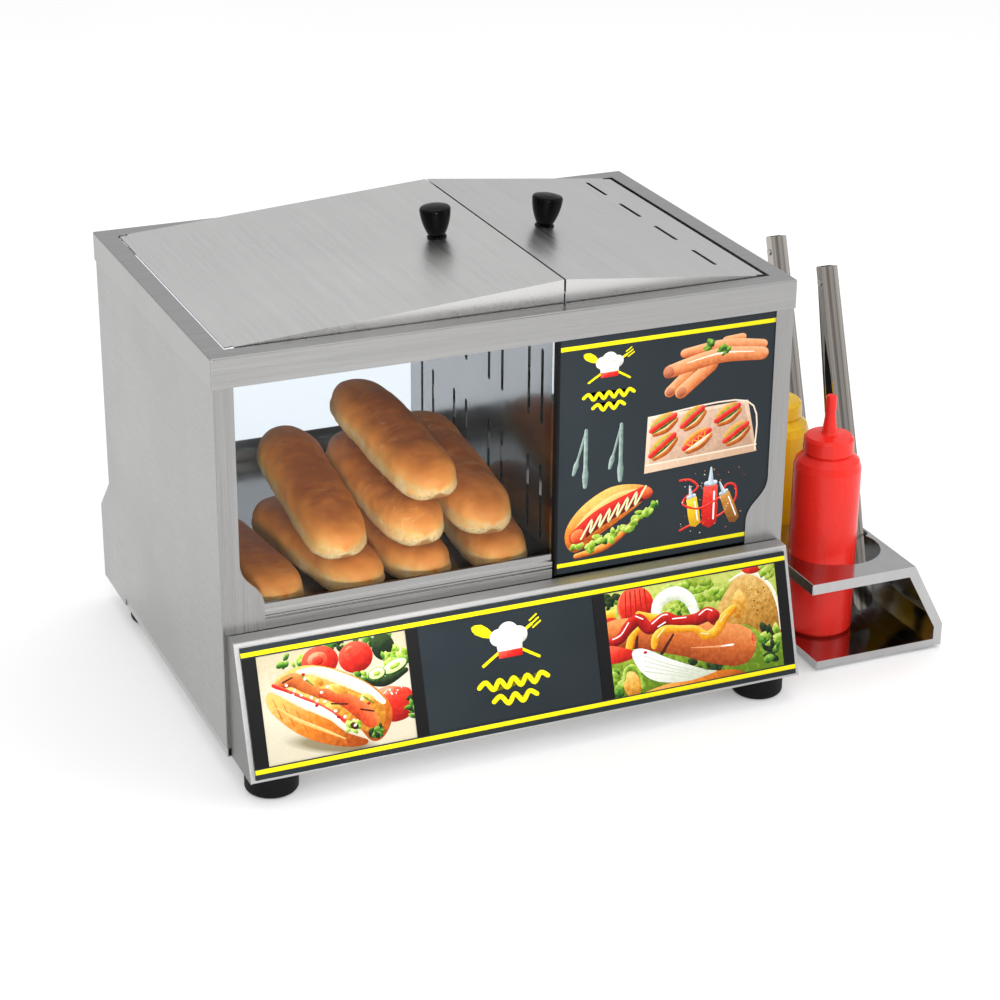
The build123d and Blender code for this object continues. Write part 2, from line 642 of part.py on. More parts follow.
CORD_R = 4.0
CORD_LIE_Z = 5.0        # height of the cord's middle where it lies on the counter
PLUG_START = (-70.0, 262.0, 18.0)


def power_cord():
    """Mains cord: straight out of the gland, down to the counter and along behind the cabinet."""
    x, fall_y, drop_r, turn_r = CONTROL_X["gland"], 258.0, 14.0, 15.0
    start = (x, 208, GLAND_Z)
    lead = Line(start, (x, fall_y - drop_r, GLAND_Z))
    half = drop_r * 0.5 ** 0.5
    drop = ThreePointArc(lead @ 1, (x, fall_y - drop_r + half, GLAND_Z - drop_r + half),
                         (x, fall_y, GLAND_Z - drop_r))
    fall = Line(drop @ 1, (x, fall_y, CORD_LIE_Z + turn_r))
    half = turn_r * 0.5 ** 0.5
    turn = ThreePointArc(fall @ 1, (x - turn_r + half, fall_y, CORD_LIE_Z + turn_r - half),
                         (x - turn_r, fall_y, CORD_LIE_Z))
    lie = Line(turn @ 1, (40, fall_y, CORD_LIE_Z))
    rise = Spline(lie @ 1, PLUG_START, tangents=((-1, 0, 0), (-1, 0, 0)))
    path = Wire([part.edge() for part in (lead, drop, fall, turn, lie, rise)])
    section = Plane(origin=start, z_dir=(0, 1, 0)) * Circle(CORD_R)
    return sweep(section, path=path)


def power_plug():
    """Round two-pin plug with a tapered strain relief."""
    x, y, z = PLUG_START
    relief = Rot(0, -90, 0) * Cone(5, 8, 22, align=(Align.CENTER, Align.CENTER, Align.MIN))
    body = Pos(-22, 0, 0) * Rot(0, -90, 0) * Cylinder(17.5, 32, align=(Align.CENTER, Align.CENTER, Align.MIN))
    body = fillet(body.edges().filter_by(GeomType.CIRCLE), 3)
    shell = Pos(x, y, z) * (relief + body)
    pins = [rod_x(2.4, x - 73, x - 54, y + side * 9.5, z) for side in (-1, 1)]
    return group([shell] + pins)


# ---------------------------------------------------------------- lids
def lid(edge_x, seam_x, hinge_x, edge_z):
    """Folded lid: sloping top, a skirt front and rear, and a flange along the seam."""
    side = 1 if seam_x > edge_x else -1
    low = LID_RIM - 0.9
    top = [(edge_x, edge_z), (seam_x, LID_PEAK), (seam_x, LID_PEAK - SHEET), (edge_x, edge_z - SHEET)]
    plate = prism_y(top, -LID_Y, LID_Y)
    skirt = [(edge_x, edge_z - SHEET / 2), (seam_x, LID_PEAK - SHEET / 2), (seam_x, low), (edge_x, low)]
    shell = plate + prism_y(skirt, -LID_Y, -LID_Y + SHEET) + prism_y(skirt, LID_Y - SHEET, LID_Y)
    seam = sorted((seam_x, seam_x - side * SHEET))
    shell = shell + block(*seam, -LID_Y, LID_Y, LID_PEAK - 14, LID_PEAK - SHEET / 2)
    for end in (-1, 1):
        notch = sorted((edge_x - side, hinge_x + side * 4))
        shell = shell - block(*notch, end * (LID_Y - 3.5), end * (LID_Y + 1), edge_z - 2.2, edge_z + 6)
        shell = shell - rod_y(HINGE_PIN_R + RUNNING, end * (LID_Y - 3), end * (LID_Y + 3), hinge_x, HINGE_Z)
    return shell


def lid_frame(edge_x, seam_x, edge_z, knob_x):
    """Plane on the lid's top surface at its knob, with its normal as Z."""
    slope = (LID_PEAK - edge_z) / (seam_x - edge_x)
    z = edge_z + slope * (knob_x - edge_x)
    return Pos(knob_x, 0, z) * Rot(0, -degrees(atan2(LID_PEAK - edge_z, abs(seam_x - edge_x)))
                                   * (1 if seam_x > edge_x else -1), 0)


LEFT_EDGE_Z = 410.8
RIGHT_EDGE_Z = 411.0
LEFT_KNOB = lid_frame(LEFT_EDGE_X, SEAM_X - 1, LEFT_EDGE_Z, 0.0)
RIGHT_KNOB = lid_frame(RIGHT_EDGE_X, SEAM_X + 1, RIGHT_EDGE_Z, 112.0)
VENT_YS = (-110.0, -28.5, 51.0, 130.0)


def left_lid():
    shell = lid(LEFT_EDGE_X, SEAM_X - 1, LEFT_HINGE_X, LEFT_EDGE_Z)
    return shell - LEFT_KNOB * Cylinder(2.7, 12)


def right_lid():
    """Right lid, with a row of steam vents near its hinge."""
    shell = lid(RIGHT_EDGE_X, SEAM_X + 1, RIGHT_HINGE_X, RIGHT_EDGE_Z)
    for y in VENT_YS:
        vent = block(227, 231, y - 22, y + 22, 405, 425)
        for end in (-22, 22):
            vent = vent + rod_z(2, 405, 425, 229, y + end)
        shell = shell - vent
    return shell - RIGHT_KNOB * Cylinder(2.7, 12)


def lid_knob():
    """Tapered knob, narrow at the lid and flaring to a domed top."""
    bore = 2.5
    side = ThreePointArc((8.0, 2.5), (12.6, 13.5), (15.0, 27.5))
    rim = ThreePointArc((15.0, 27.5), (14.2, 29.6), (12.5, 30.4))
    dome = ThreePointArc((12.5, 30.4), (7.5, 31.5), (2, 31.9))
    foot = Polyline((2, 31.9), (0, 31.9), (0, 13.5), (bore, 13.5), (bore, 0), (9.5, 0), (9.5, 1.2),
                    (8.0, 2.5))
    outline = make_face(side.edges() + rim.edges() + dome.edges() + foot.edges())
    return revolve(Plane.XZ * outline, Axis.Z)


def knob_screw():
    """Pan-head screw up through the lid into the knob."""
    head = Pos(0, 0, -SHEET - 1.5) * Cylinder(5, 3)
    return head + Pos(0, 0, 5.5) * Cylinder(2.45, 14)


# ---------------------------------------------------------------- condiment stand
def stand_section():
    """Outer line of the stand's section: upper shelf, slanting side, short upright."""
    return [(313, STAND_TOP - 11), (313, STAND_TOP), (430, STAND_TOP), (467, 27), (467, 3)]


def condiment_stand():
    """Folded stand: pierced upper shelf, slanting side wall, lower shelf, narrow front and rear rims."""
    shell = folded_y(stand_section(), STAND_FRONT, STAND_BACK, thickness=-SHEET, bend=1.5)
    shelf = block(323, 466.5, STAND_FRONT, STAND_BACK, STAND_SHELF - SHEET, STAND_SHELF)
    shell = shell + shelf + block(323, 324, STAND_FRONT, STAND_BACK, 3, STAND_SHELF)
    upper = [(313.6, STAND_TOP - 0.6), (429.6, STAND_TOP - 0.6), (466.6, 27), (466.6, 3), (457.5, 4.5),
             (457.5, 24.5), (424.2, STAND_TOP - 11), (314.6, STAND_TOP - 11)]
    lower = [(323.5, STAND_SHELF - 0.4), (464, STAND_SHELF - 0.4), (456, 3), (323.5, 3)]
    for y in (STAND_FRONT, STAND_BACK - SHEET):
        shell = shell + prism_y(upper, y, y + SHEET) + prism_y(lower, y, y + SHEET)
    for row in range(2):
        y = FRONT_ROW_Y - 4 + row * ROW_PITCH
        depth = (STAND_TOP - 9, STAND_TOP + 3)
        shell = shell - rod_z(40, *depth, BOTTLE_X + 3, y) - rod_z(42, *depth, BOTTLE_X + 16, y - 2)
        tongs_slot = block(385, 427.2, y + 12, y + 74, *depth)
        tongs_slot = fillet(tongs_slot.edges().filter_by(Axis.Z), 8)
        shell = shell - tongs_slot
    return shell


def stand_feet():
    """Small chamfered rubber feet under the lower shelf."""
    made = []
    for x in (333, 446):
        for y in (STAND_FRONT + 12, STAND_BACK - 12):
            foot = block(x - 9, x + 9, y - 9, y + 9, 0, STAND_SHELF - SHEET)
            made.append(chamfer(foot.edges().group_by(Axis.Z)[0], 2.5))
    return group(made)


def bottle():
    """Squeeze bottle, open at the neck; its base is at z = 0."""
    r, wall = BOTTLE_R, 1.5
    outer = [(0, 0), (r - 3, 0), (r, 3), (r, 176), (r - 2.5, 184), (24.5, 190), (23, 191), (23, 203)]
    inner = [(23 - wall, 203), (23 - wall, 190), (24, 188), (r - 4, 182), (r - wall, 175), (r - wall, 4),
             (r - 4, wall), (0, wall)]
    body = revolve(Plane.XZ * make_face(Polyline(*(outer + inner), close=True)), Axis.Z)
    bends = body.edges().filter_by(GeomType.CIRCLE).filter_by(lambda e: abs(e.radius - r) < 0.01)
    return fillet(bends, 2.0)


def bottle_cap():
    """Screw cap with a conical spout, and a small push-on tip cover as a second solid."""
    outer = [(CAP_R - 1.5, 0), (CAP_R, 1), (CAP_R - 0.6, 14), (CAP_R - 3, 17), (9, 19), (7.5, 21), (4.2, 47),
             (4.2, 52)]
    inner = [(2.2, 52), (2.2, 47), (5.0, 21), (5.0, 17.5), (CAP_R - 4, 15), (CAP_R - 2, 13), (CAP_R - 2, 0)]
    cap = revolve(Plane.XZ * make_face(Polyline(*(outer + inner), close=True)), Axis.Z)
    tip_outline = [(0, 59), (4.4, 59), (5.4, 57.5), (5.8, 44), (4.6 + 0.4, 44), (4.6, 52.4), (0, 52.4)]
    tip = revolve(Plane.XZ * make_face(Polyline(*tip_outline, close=True)), Axis.Z)
    return cap, tip


# ---------------------------------------------------------------- tongs
TONGS_LENGTH = 353.0
ARM_W = 18.0
PIVOT_Z = -16.0         # pivot below the head, along the tongs
HEAD_Z = -40.0          # the channels overlap down to here
WEB_Y = 6.7             # outer face of each arm's web, from the tongs' middle plane


def tongs_frame(row):
    """Placement of a pair of tongs: local Z runs up the arms, local -Y is the front arm's web."""
    shift = Vector(0, row * ROW_PITCH, 0)
    foot, head = Vector(*TONGS_FOOT) + shift, Vector(*TONGS_HEAD) + shift
    return Plane(origin=head, z_dir=head - foot, x_dir=(1, 0, 0)).location


def channel_arm(width, reach):
    """Front arm hanging from z = 0, its web at -Y: a channel that ends in a wider tip.

    reach is how far the flanges pass the middle plane at the head.
    """
    half, low = width / 2, -TONGS_LENGTH + 42
    tip_low = -TONGS_LENGTH
    outline = [(-half, 0), (half, 0), (half + 1, -TONGS_LENGTH * 0.55), (half - 2, low), (11, low - 12),
               (11, tip_low + 8), (7, tip_low), (-7, tip_low), (-11, tip_low + 8), (-11, low - 12),
               (-half + 2, low), (-half - 1, -TONGS_LENGTH * 0.55)]
    web = prism_y(outline, -WEB_Y, -WEB_Y + SHEET)
    profile = [(-WEB_Y, 0), (reach, 0), (reach, HEAD_Z), (-WEB_Y + 4, -110), (-WEB_Y + 3, low),
               (-WEB_Y, low - 12)]
    walls = [prism_x(profile, half - SHEET, half), prism_x(profile, -half, -half + SHEET)]
    hollow = prism_y(outline, -WEB_Y - 1, reach + 1)
    return web + [wall & hollow for wall in walls]


def tongs(row):
    """Front arm, rear arm and pivot (pin with a coiled spring) of one pair of tongs."""
    place = tongs_frame(row)
    across = Pos(0, 0, PIVOT_Z) * Rot(0, 90, 0)
    front = channel_arm(ARM_W, 4.5) - across * Cylinder(2.0, 60)
    rear = Rot(0, 0, 180) * channel_arm(ARM_W - 2 * SHEET - 0.4, 3.5)
    rear = rear - across * Cylinder(2.0 + RUNNING, 60)
    rear = Pos(0, 0, PIVOT_Z) * Rot(TONGS_SPREAD, 0, 0) * Pos(0, 0, -PIVOT_Z) * rear
    pin = across * (Cylinder(2.0, ARM_W) + Pos(0, 0, ARM_W / 2 + 0.6) * Cylinder(3.2, 1.2)
                    + Pos(0, 0, -ARM_W / 2 - 0.6) * Cylinder(3.2, 1.2))
    coils = [across * Pos(0, 0, z) * Torus(2.9, 0.5) for z in (-2.4, -1.2, 0.0, 1.2, 2.4)]
    return place * front, place * rear, group([place * part for part in [pin] + coils])


# ---------------------------------------------------------------- contents
BUN_L, BUN_W, BUN_H = 202.0, 62.0, 42.0
# centre x, y, z, yaw and pitch of each bun in the pile; a positive pitch lifts the rear end
BUN_PLACES = [
    (-231, -73, 168.1, 9, 0), (-152, -73, 168.1, 10, 0), (-82, -73, 168.1, 7, 0), (7, -75, 168.1, -3, 0),
    (-157, -75, 225.4, 0, 11), (-85, -75, 218.4, 3, 6), (-15, -75, 223.0, 2, 9), (-75, -75, 265.8, 6, 9),
]


def bun():
    """Long soft roll with a flat base and rounded ends, crown up, centred on its middle."""
    loaf = extrude(SlotOverall(BUN_L, BUN_W), amount=BUN_H)
    loaf = fillet(loaf.faces().sort_by(Axis.Z)[-1].edges(), 20)
    loaf = fillet(loaf.faces().sort_by(Axis.Z)[0].edges(), 9)
    return Pos(0, 0, -BUN_H / 2) * loaf


def hot_dog_buns():
    one = Rot(0, 0, 90) * bun()
    return group([Pos(x, y, z) * Rot(pitch, 0, yaw) * one for x, y, z, yaw, pitch in BUN_PLACES])


# ---------------------------------------------------------------- assembly
def mirrored(shape):
    return mirror(shape, about=Plane.YZ)


def build():
    made = {
        "base_pan": base_pan(), "left_side_panel": side_panel(), "right_side_panel": mirrored(side_panel()),
        "top_frame": top_frame(), "rear_frame": rear_frame(), "rear_glass": rear_glass(),
        "control_housing": control_housing(), "sign_housing": sign_housing(), "sign_panel": sign_panel(),
        "window_rail": window_rail(), "front_glass": front_glass(), "menu_board": menu_board(),
        "board_edge_seal": board_edge_seal(), "glass_clips": glass_clips(), "partition": partition(),
        "bun_floor": bun_floor(), "basket_rails": basket_rails(), "water_tank": water_tank(),
        "tank_supports": tank_supports(), "heating_element": heating_element(),
        "element_glands": element_glands(), "drain_valve": drain_valve(), "drain_lever": drain_lever(),
        "thermostat_body": thermostat_body(), "thermostat_bulb": thermostat_bulb(),
        "thermostat_knob": thermostat_knob(), "safety_thermostat": safety_thermostat(),
        "reset_button": reset_button(), "pilot_lamps": pilot_lamps(), "switch_body": switch_body(),
        "power_rocker": power_rocker(), "terminal_block": terminal_block(), "cable_gland": cable_gland(),
        "power_cord": power_cord(), "power_plug": power_plug(), "feet": feet(), "foot_screws": foot_screws(),
        "lid_hinge_pins": lid_hinge_pins(), "panel_screws": panel_screws(),
        "left_lid": left_lid(), "left_lid_knob": LEFT_KNOB * lid_knob(),
        "left_knob_screw": LEFT_KNOB * knob_screw(),
        "right_lid": right_lid(), "right_lid_knob": RIGHT_KNOB * lid_knob(),
        "right_knob_screw": RIGHT_KNOB * knob_screw(),
        "sausage_basket": sausage_basket(), "hot_dog_buns": hot_dog_buns(),
        "condiment_stand": condiment_stand(), "stand_feet": stand_feet(),
    }
    for row, sauce, name in ((0, "ketchup", "front"), (1, "mustard", "rear")):
        base = Pos(BOTTLE_X, FRONT_ROW_Y + row * ROW_PITCH, STAND_SHELF)
        neck = base * Pos(0, 0, 192)
        made[sauce + "_bottle"] = base * bottle()
        made[sauce + "_cap"] = group([neck * part for part in bottle_cap()])
        front, rear, pivot = tongs(row)
        made[name + "_tongs_front_arm"] = front
        made[name + "_tongs_rear_arm"] = rear
        made[name + "_tongs_pivot"] = pivot
    return made


os.makedirs("parts", exist_ok=True)
to_origin = Pos(-FOOTPRINT_MIDDLE[0], -FOOTPRINT_MIDDLE[1], 0)
for node, shape in build().items():
    export_step(to_origin * shape, os.path.join("parts", node + ".step"))
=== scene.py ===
import json
import math
import random

import bmesh
import bpy
from mathutils import Matrix, Vector, noise


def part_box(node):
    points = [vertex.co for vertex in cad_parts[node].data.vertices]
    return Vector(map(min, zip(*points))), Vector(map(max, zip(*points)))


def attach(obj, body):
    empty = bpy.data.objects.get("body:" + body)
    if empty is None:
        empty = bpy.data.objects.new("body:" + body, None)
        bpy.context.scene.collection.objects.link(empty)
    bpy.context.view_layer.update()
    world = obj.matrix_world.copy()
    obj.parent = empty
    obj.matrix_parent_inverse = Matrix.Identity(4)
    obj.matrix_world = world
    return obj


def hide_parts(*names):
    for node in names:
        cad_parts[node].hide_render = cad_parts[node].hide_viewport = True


# Looks of the counter-top hot dog steamer. The metal, glass and plastic parts are the frame's own
# nodes with procedural materials. Three things are built here: the bread rolls, the printed artwork
# of the two signs, and the marks round the thermostat dial. Lengths are metres unless a name or a
# comment says millimetres.

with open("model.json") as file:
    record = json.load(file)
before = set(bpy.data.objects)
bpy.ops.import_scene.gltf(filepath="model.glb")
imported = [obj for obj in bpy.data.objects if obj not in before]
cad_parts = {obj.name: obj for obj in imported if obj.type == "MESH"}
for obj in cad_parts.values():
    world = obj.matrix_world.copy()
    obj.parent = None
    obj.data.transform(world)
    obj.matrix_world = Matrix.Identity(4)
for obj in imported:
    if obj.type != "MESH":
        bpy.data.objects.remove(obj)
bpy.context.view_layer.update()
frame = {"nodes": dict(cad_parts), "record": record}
nodes = frame["nodes"]
MM = 0.001


# ---------------------------------------------------------------- material tools
def linear(channel):
    """One 0-255 display channel as linear light."""
    share = channel / 255
    return share / 12.92 if share <= 0.04045 else ((share + 0.055) / 1.055) ** 2.4


def rgb(red, green, blue):
    return (linear(red), linear(green), linear(blue), 1.0)


def grey(value):
    return (value, value, value, 1.0)


def darker(colour, share):
    return (colour[0] * share, colour[1] * share, colour[2] * share, 1.0)


class Look:
    """A node material under construction, around a Principled shader."""

    def __init__(self, name, **values):
        self.material = bpy.data.materials.new(name)
        self.material.use_nodes = True
        self.tree = self.material.node_tree
        self.shader = self.tree.nodes["Principled BSDF"]
        place = self.tree.nodes.new("ShaderNodeTexCoord")
        self.here = place.outputs["Object"]
        self.uv = place.outputs["UV"]
        for key, value in values.items():
            self.set(key.replace("_", " ").title(), value)

    def feed(self, socket, value):
        if isinstance(value, bpy.types.NodeSocket):
            self.tree.links.new(value, socket)
        else:
            socket.default_value = value

    def set(self, name, value):
        self.feed(self.shader.inputs[name.replace("Ior", "IOR")], value)

    def node(self, kind, **settings):
        made = self.tree.nodes.new("ShaderNode" + kind)
        for key, value in settings.items():
            setattr(made, key, value)
        return made

    def math(self, operation, a, b=0.0):
        made = self.node("Math", operation=operation)
        self.feed(made.inputs[0], a)
        self.feed(made.inputs[1], b)
        return made.outputs[0]

    def plus(self, a, b):
        return self.math("ADD", a, b)

    def times(self, a, b):
        return self.math("MULTIPLY", a, b)

    def above(self, value, limit):
        """1 where the value is over the limit, else 0."""
        return self.math("GREATER_THAN", value, limit)

    def vector(self, operation, a, b):
        made = self.node("VectorMath", operation=operation)
        self.feed(made.inputs[0], a)
        self.feed(made.inputs[1], b)
        return made.outputs[0]

    def axis(self, source, index):
        """One component of a vector, 0 to 2."""
        made = self.node("SeparateXYZ")
        self.feed(made.inputs[0], source)
        return made.outputs[index]

    def noise(self, scale, stretch=(1.0, 1.0, 1.0), detail=2.0, distortion=0.0):
        """Noise with about scale features a metre; a stretch below 1 draws it out along that axis."""
        texture = self.node("TexNoise")
        self.feed(texture.inputs["Vector"], self.vector("MULTIPLY", self.here, stretch))
        self.feed(texture.inputs["Scale"], scale)
        self.feed(texture.inputs["Detail"], detail)
        self.feed(texture.inputs["Distortion"], distortion)
        return texture.outputs["Fac"]

    def ramp(self, factor, *stops):
        made = self.node("ValToRGB")
        elements = made.color_ramp.elements
        elements[0].position, elements[0].color = stops[0]
        elements[1].position, elements[1].color = stops[-1]
        for position, colour in stops[1:-1]:
            elements.new(position).color = colour
        self.feed(made.inputs[0], factor)
        return made.outputs["Color"]

    def span(self, value, low, high, out_low=0.0, out_high=1.0):
        """Map low..high to out_low..out_high, held at the ends."""
        made = self.node("MapRange")
        for socket, number in zip(made.inputs, (value, low, high, out_low, out_high)):
            self.feed(socket, number)
        return made.outputs[0]

    def mix(self, factor, a, b, blend="MIX"):
        made = self.node("Mix", data_type="RGBA", blend_type=blend)
        for index, value in ((0, factor), (6, a), (7, b)):
            self.feed(made.inputs[index], value)
        return made.outputs[2]

    def tint(self, a, b):
        """Two colours multiplied."""
        return self.mix(1.0, a, b, "MULTIPLY")

    def bump(self, height, depth, strength=1.0):
        """Bump the normal by height times depth metres."""
        made = self.node("Bump")
        self.feed(made.inputs["Strength"], strength)
        self.feed(made.inputs["Distance"], depth)
        self.feed(made.inputs["Height"], height)
        self.set("Normal", made.outputs[0])

    def finish(self, colour, rough, height, depth, strength=1.0):
        """Plug in colour, roughness and relief, and hand over the material."""
        self.set("Base Color", colour)
        self.set("Roughness", rough)
        self.bump(height, depth, strength)
        return self.material


# ---------------------------------------------------------------- metal
STEEL_TINT = (1.0, 0.99, 0.975)     # stainless reads a trace warm
BRUSH_STRETCH = 0.012               # scale of the marks along the brushing, as a share of that across it


def steel_streaks(look, grain):
    """Fine and broad brushing marks along one axis: 0 X, 1 Y or 2 Z."""
    along = [1.0, 1.0, 1.0]
    along[grain] = BRUSH_STRETCH
    fine = look.noise(1500, along)
    broad = look.noise(240, along, detail=3)
    return look.plus(look.times(fine, 0.55), look.times(broad, 0.45))


def brushed_steel(name, grain, shade, gloss=0.27, contrast=1.0, fold_grain=None, painted_cheek_shade=1.0):
    """Stainless sheet brushed along one axis.

    fold_grain is the brushing of the faces that look along that axis; the cheek factor darkens those that
    look along X as painted shade.
    """
    look = Look(name, metallic=1.0)
    normal = look.node("NewGeometry").outputs["Normal"]
    streaks = steel_streaks(look, grain)
    if fold_grain is not None:
        end_on = look.above(look.math("ABSOLUTE", look.axis(normal, grain)), 0.7)
        streaks = look.mix(end_on, streaks, steel_streaks(look, fold_grain))
    clouds = look.noise(7, detail=3)
    low, high = (tuple(shade * edge * t for t in STEEL_TINT) + (1.0,)
                 for edge in (1 - 0.07 * contrast, 1 + 0.05 * contrast))
    colour = look.ramp(streaks, (0.38, low), (0.62, high))
    # painted shade: faces that look along X are darkened to stand in for the shade on the cheeks
    if painted_cheek_shade != 1.0:
        shaded_cheeks = look.above(look.math("ABSOLUTE", look.axis(normal, 0)), 0.8)
        colour = look.mix(shaded_cheeks, colour, look.tint(colour, grey(painted_cheek_shade)))
    look.set("Base Color", colour)
    rough = look.span(streaks, 0.35, 0.65, gloss - 0.05, gloss + 0.05)
    handled = look.span(clouds, 0.4, 0.7, 0.0, 0.06)
    look.set("Roughness", look.plus(rough, handled))
    look.bump(streaks, 0.000012 * contrast)
    return look.material


def polished_steel(name, shade, gloss):
    """Bright-rolled stainless: nearly a mirror, with a faint ripple and wiping marks."""
    look = Look(name, metallic=1.0)
    ripple = look.noise(14, detail=1)
    wipe = look.noise(60, (1.0, 0.25, 0.25), detail=4, distortion=1.5)
    return look.finish(look.ramp(wipe, (0.3, grey(shade * 0.95)), (0.7, grey(shade * 1.03))),
                       look.span(wipe, 0.3, 0.75, gloss - 0.03, gloss + 0.07), ripple, 0.3 * MM)


def channel_steel(name, foot, head):
    """Polished channels of the tongs: long streaks outside as painted reflection, and the inside painted dark
    as shade and made dull.

    foot and head are points on the middle line of the pair; the inside faces look towards it.
    """
    look = Look(name, metallic=1.0)
    along = (head - foot).normalized()
    # painted reflection: long light and dark streaks stand in for the surroundings mirrored in the polished
    # outside
    streaks = look.noise(210, (1.0, 0.0, 0.0), detail=2)
    low, high = rgb(104, 98, 92), rgb(200, 195, 188)
    painted_reflection_outside = look.ramp(streaks, (0.34, low), (0.5, rgb(164, 158, 151)), (0.66, high))
    from_foot = look.vector("SUBTRACT", look.here, foot)
    dot = look.node("VectorMath", operation="DOT_PRODUCT")
    look.feed(dot.inputs[0], from_foot)
    look.feed(dot.inputs[1], along)
    on_line = look.node("VectorMath", operation="SCALE")
    look.feed(on_line.inputs[0], along)
    look.feed(on_line.inputs["Scale"], dot.outputs["Value"])
    outwards = look.vector("SUBTRACT", from_foot, on_line.outputs[0])
    facing = look.node("VectorMath", operation="DOT_PRODUCT")
    look.feed(facing.inputs[0], outwards)
    look.feed(facing.inputs[1], look.node("NewGeometry").outputs["Normal"])
    # painted shade: the faces inside the channel are painted near black
    painted_shade_inside = look.math("LESS_THAN", facing.outputs["Value"], -0.001)
    shiny, dull = 0.12, 0.6
    look.set("Base Color", look.mix(painted_shade_inside, painted_reflection_outside, grey(0.02)))
    look.set("Roughness", look.span(painted_shade_inside, 0.0, 1.0, shiny, dull))
    return look.material


def turned_metal(name, colour, gloss=0.3):
    """Plated or bare turned metal with fine machining rings and slight tarnish."""
    look = Look(name, metallic=1.0)
    tarnish = look.noise(120, detail=4)
    rings = look.noise(900, (0.15, 1.0, 0.15))
    return look.finish(look.ramp(tarnish, (0.3, darker(colour, 0.72)), (0.65, colour)),
                       look.span(tarnish, 0.3, 0.7, gloss + 0.12, gloss - 0.04), rings, 0.00002)


def heated_metal(name):
    """Nickel sheath of the heating element, blued and scaled by heat."""
    look = Look(name, metallic=1.0)
    scale = look.noise(160, detail=5)
    bands = look.noise(18, detail=2)
    colour = look.ramp(bands, (0.3, rgb(92, 84, 78)), (0.5, rgb(120, 104, 96)), (0.7, rgb(82, 86, 104)))
    return look.finish(look.mix(look.span(scale, 0.45, 0.7), colour, rgb(176, 170, 160)),
                       look.span(scale, 0.3, 0.7, 0.35, 0.6), scale, 0.00005)


# ---------------------------------------------------------------- plastic, rubber and glass
def moulded_plastic(name, colour, gloss, grain=0.00002, soft=0.0):
    """Injection-moulded plastic with a fine skin and slight flow marks."""
    look = Look(name, subsurface_weight=soft, subsurface_scale=0.004, specular_ior_level=0.35)
    flow = look.noise(28, (1.0, 1.0, 0.35), detail=3, distortion=0.6)
    skin = look.noise(1800, detail=3)
    look.set("Base Color", look.ramp(flow, (0.3, darker(colour, 0.88)), (0.7, colour)))
    look.set("Roughness", look.span(flow, 0.3, 0.75, gloss - 0.04, gloss + 0.08))
    look.set("Subsurface Radius", (0.6, 0.3, 0.2))
    look.bump(skin, grain)
    return look.material


def bakelite(name):
    """Glossy black knob plastic with a hint of swirl."""
    look = Look(name, specular_ior_level=0.08)
    swirl = look.noise(90, (1.0, 1.0, 0.3), detail=4, distortion=2.0)
    return look.finish(look.ramp(swirl, (0.35, rgb(2, 2, 2)), (0.7, rgb(8, 8, 8))),
                       look.span(swirl, 0.3, 0.7, 0.12, 0.22), swirl, 0.00002)


def rubber(name, colour=rgb(11, 11, 12)):
    """Matt black rubber with a little dust."""
    look = Look(name, specular_ior_level=0.15)
    dust = look.noise(45, detail=4)
    skin = look.noise(1300, detail=3)
    return look.finish(look.ramp(dust, (0.35, darker(colour, 0.75)), (0.75, darker(colour, 1.7))),
                       look.span(dust, 0.3, 0.7, 0.5, 0.68), skin, 0.00005)


CLEAR_TINT = (0.97, 0.98, 0.98, 1.0)
# painted shade: the near-black tint laid on the rear pane where only shade is
PAINTED_SHADE_TINT = (0.16, 0.17, 0.18, 1.0)
PANE_IOR = 1.2          # below real glass, so that the pane mirrors less


def clear_glass(name, tint=CLEAR_TINT, painted_shade_from=None):
    """Pane that lets light straight through and mirrors a little more at a slant.

    From a place on the X axis on, the pane is painted dark as shade behind the sausage bay.
    """
    look = Look(name)
    smear = look.noise(9, (1.0, 1.0, 2.0), detail=4, distortion=0.8)
    clear = look.node("BsdfTransparent")
    # painted shade: past the place on the X axis the pane's tint turns near black
    if painted_shade_from is not None:
        painted_shade_side = look.above(look.axis(look.here, 0), painted_shade_from)
        tint = look.mix(painted_shade_side, tint, PAINTED_SHADE_TINT)
    look.feed(clear.inputs["Color"], tint)
    mirror = look.node("BsdfGlossy")
    look.feed(mirror.inputs["Roughness"], look.span(smear, 0.45, 0.75, 0.015, 0.07))
    slant = look.node("Fresnel")
    look.feed(slant.inputs["IOR"], PANE_IOR)
    pane = look.node("MixShader")
    for socket, value in zip(pane.inputs, (slant.outputs[0], clear.outputs[0], mirror.outputs[0])):
        look.feed(socket, value)
    output = look.tree.nodes["Material Output"]
    look.tree.links.new(pane.outputs[0], output.inputs["Surface"])
    look.tree.nodes.remove(look.shader)
    return look.material


def signal_lens(low_colour, high_colour, split):
    """Ribbed lamp lenses; the lens above the height split has its own colour."""
    look = Look("lamp_lens", roughness=0.12, transmission_weight=0.35, coat_weight=0.5)
    ribs = look.node("TexWave", wave_type="BANDS", bands_direction="X")
    look.feed(ribs.inputs["Vector"], look.here)
    look.feed(ribs.inputs["Scale"], 350.0)
    upper = look.above(look.axis(look.here, 2), split)
    colour = look.mix(upper, low_colour, high_colour)
    shade = look.ramp(ribs.outputs["Fac"], (0.0, grey(0.75)), (1.0, grey(1.0)))
    look.set("Base Color", look.tint(colour, shade))
    look.bump(ribs.outputs["Fac"], 0.0003)
    return look.material


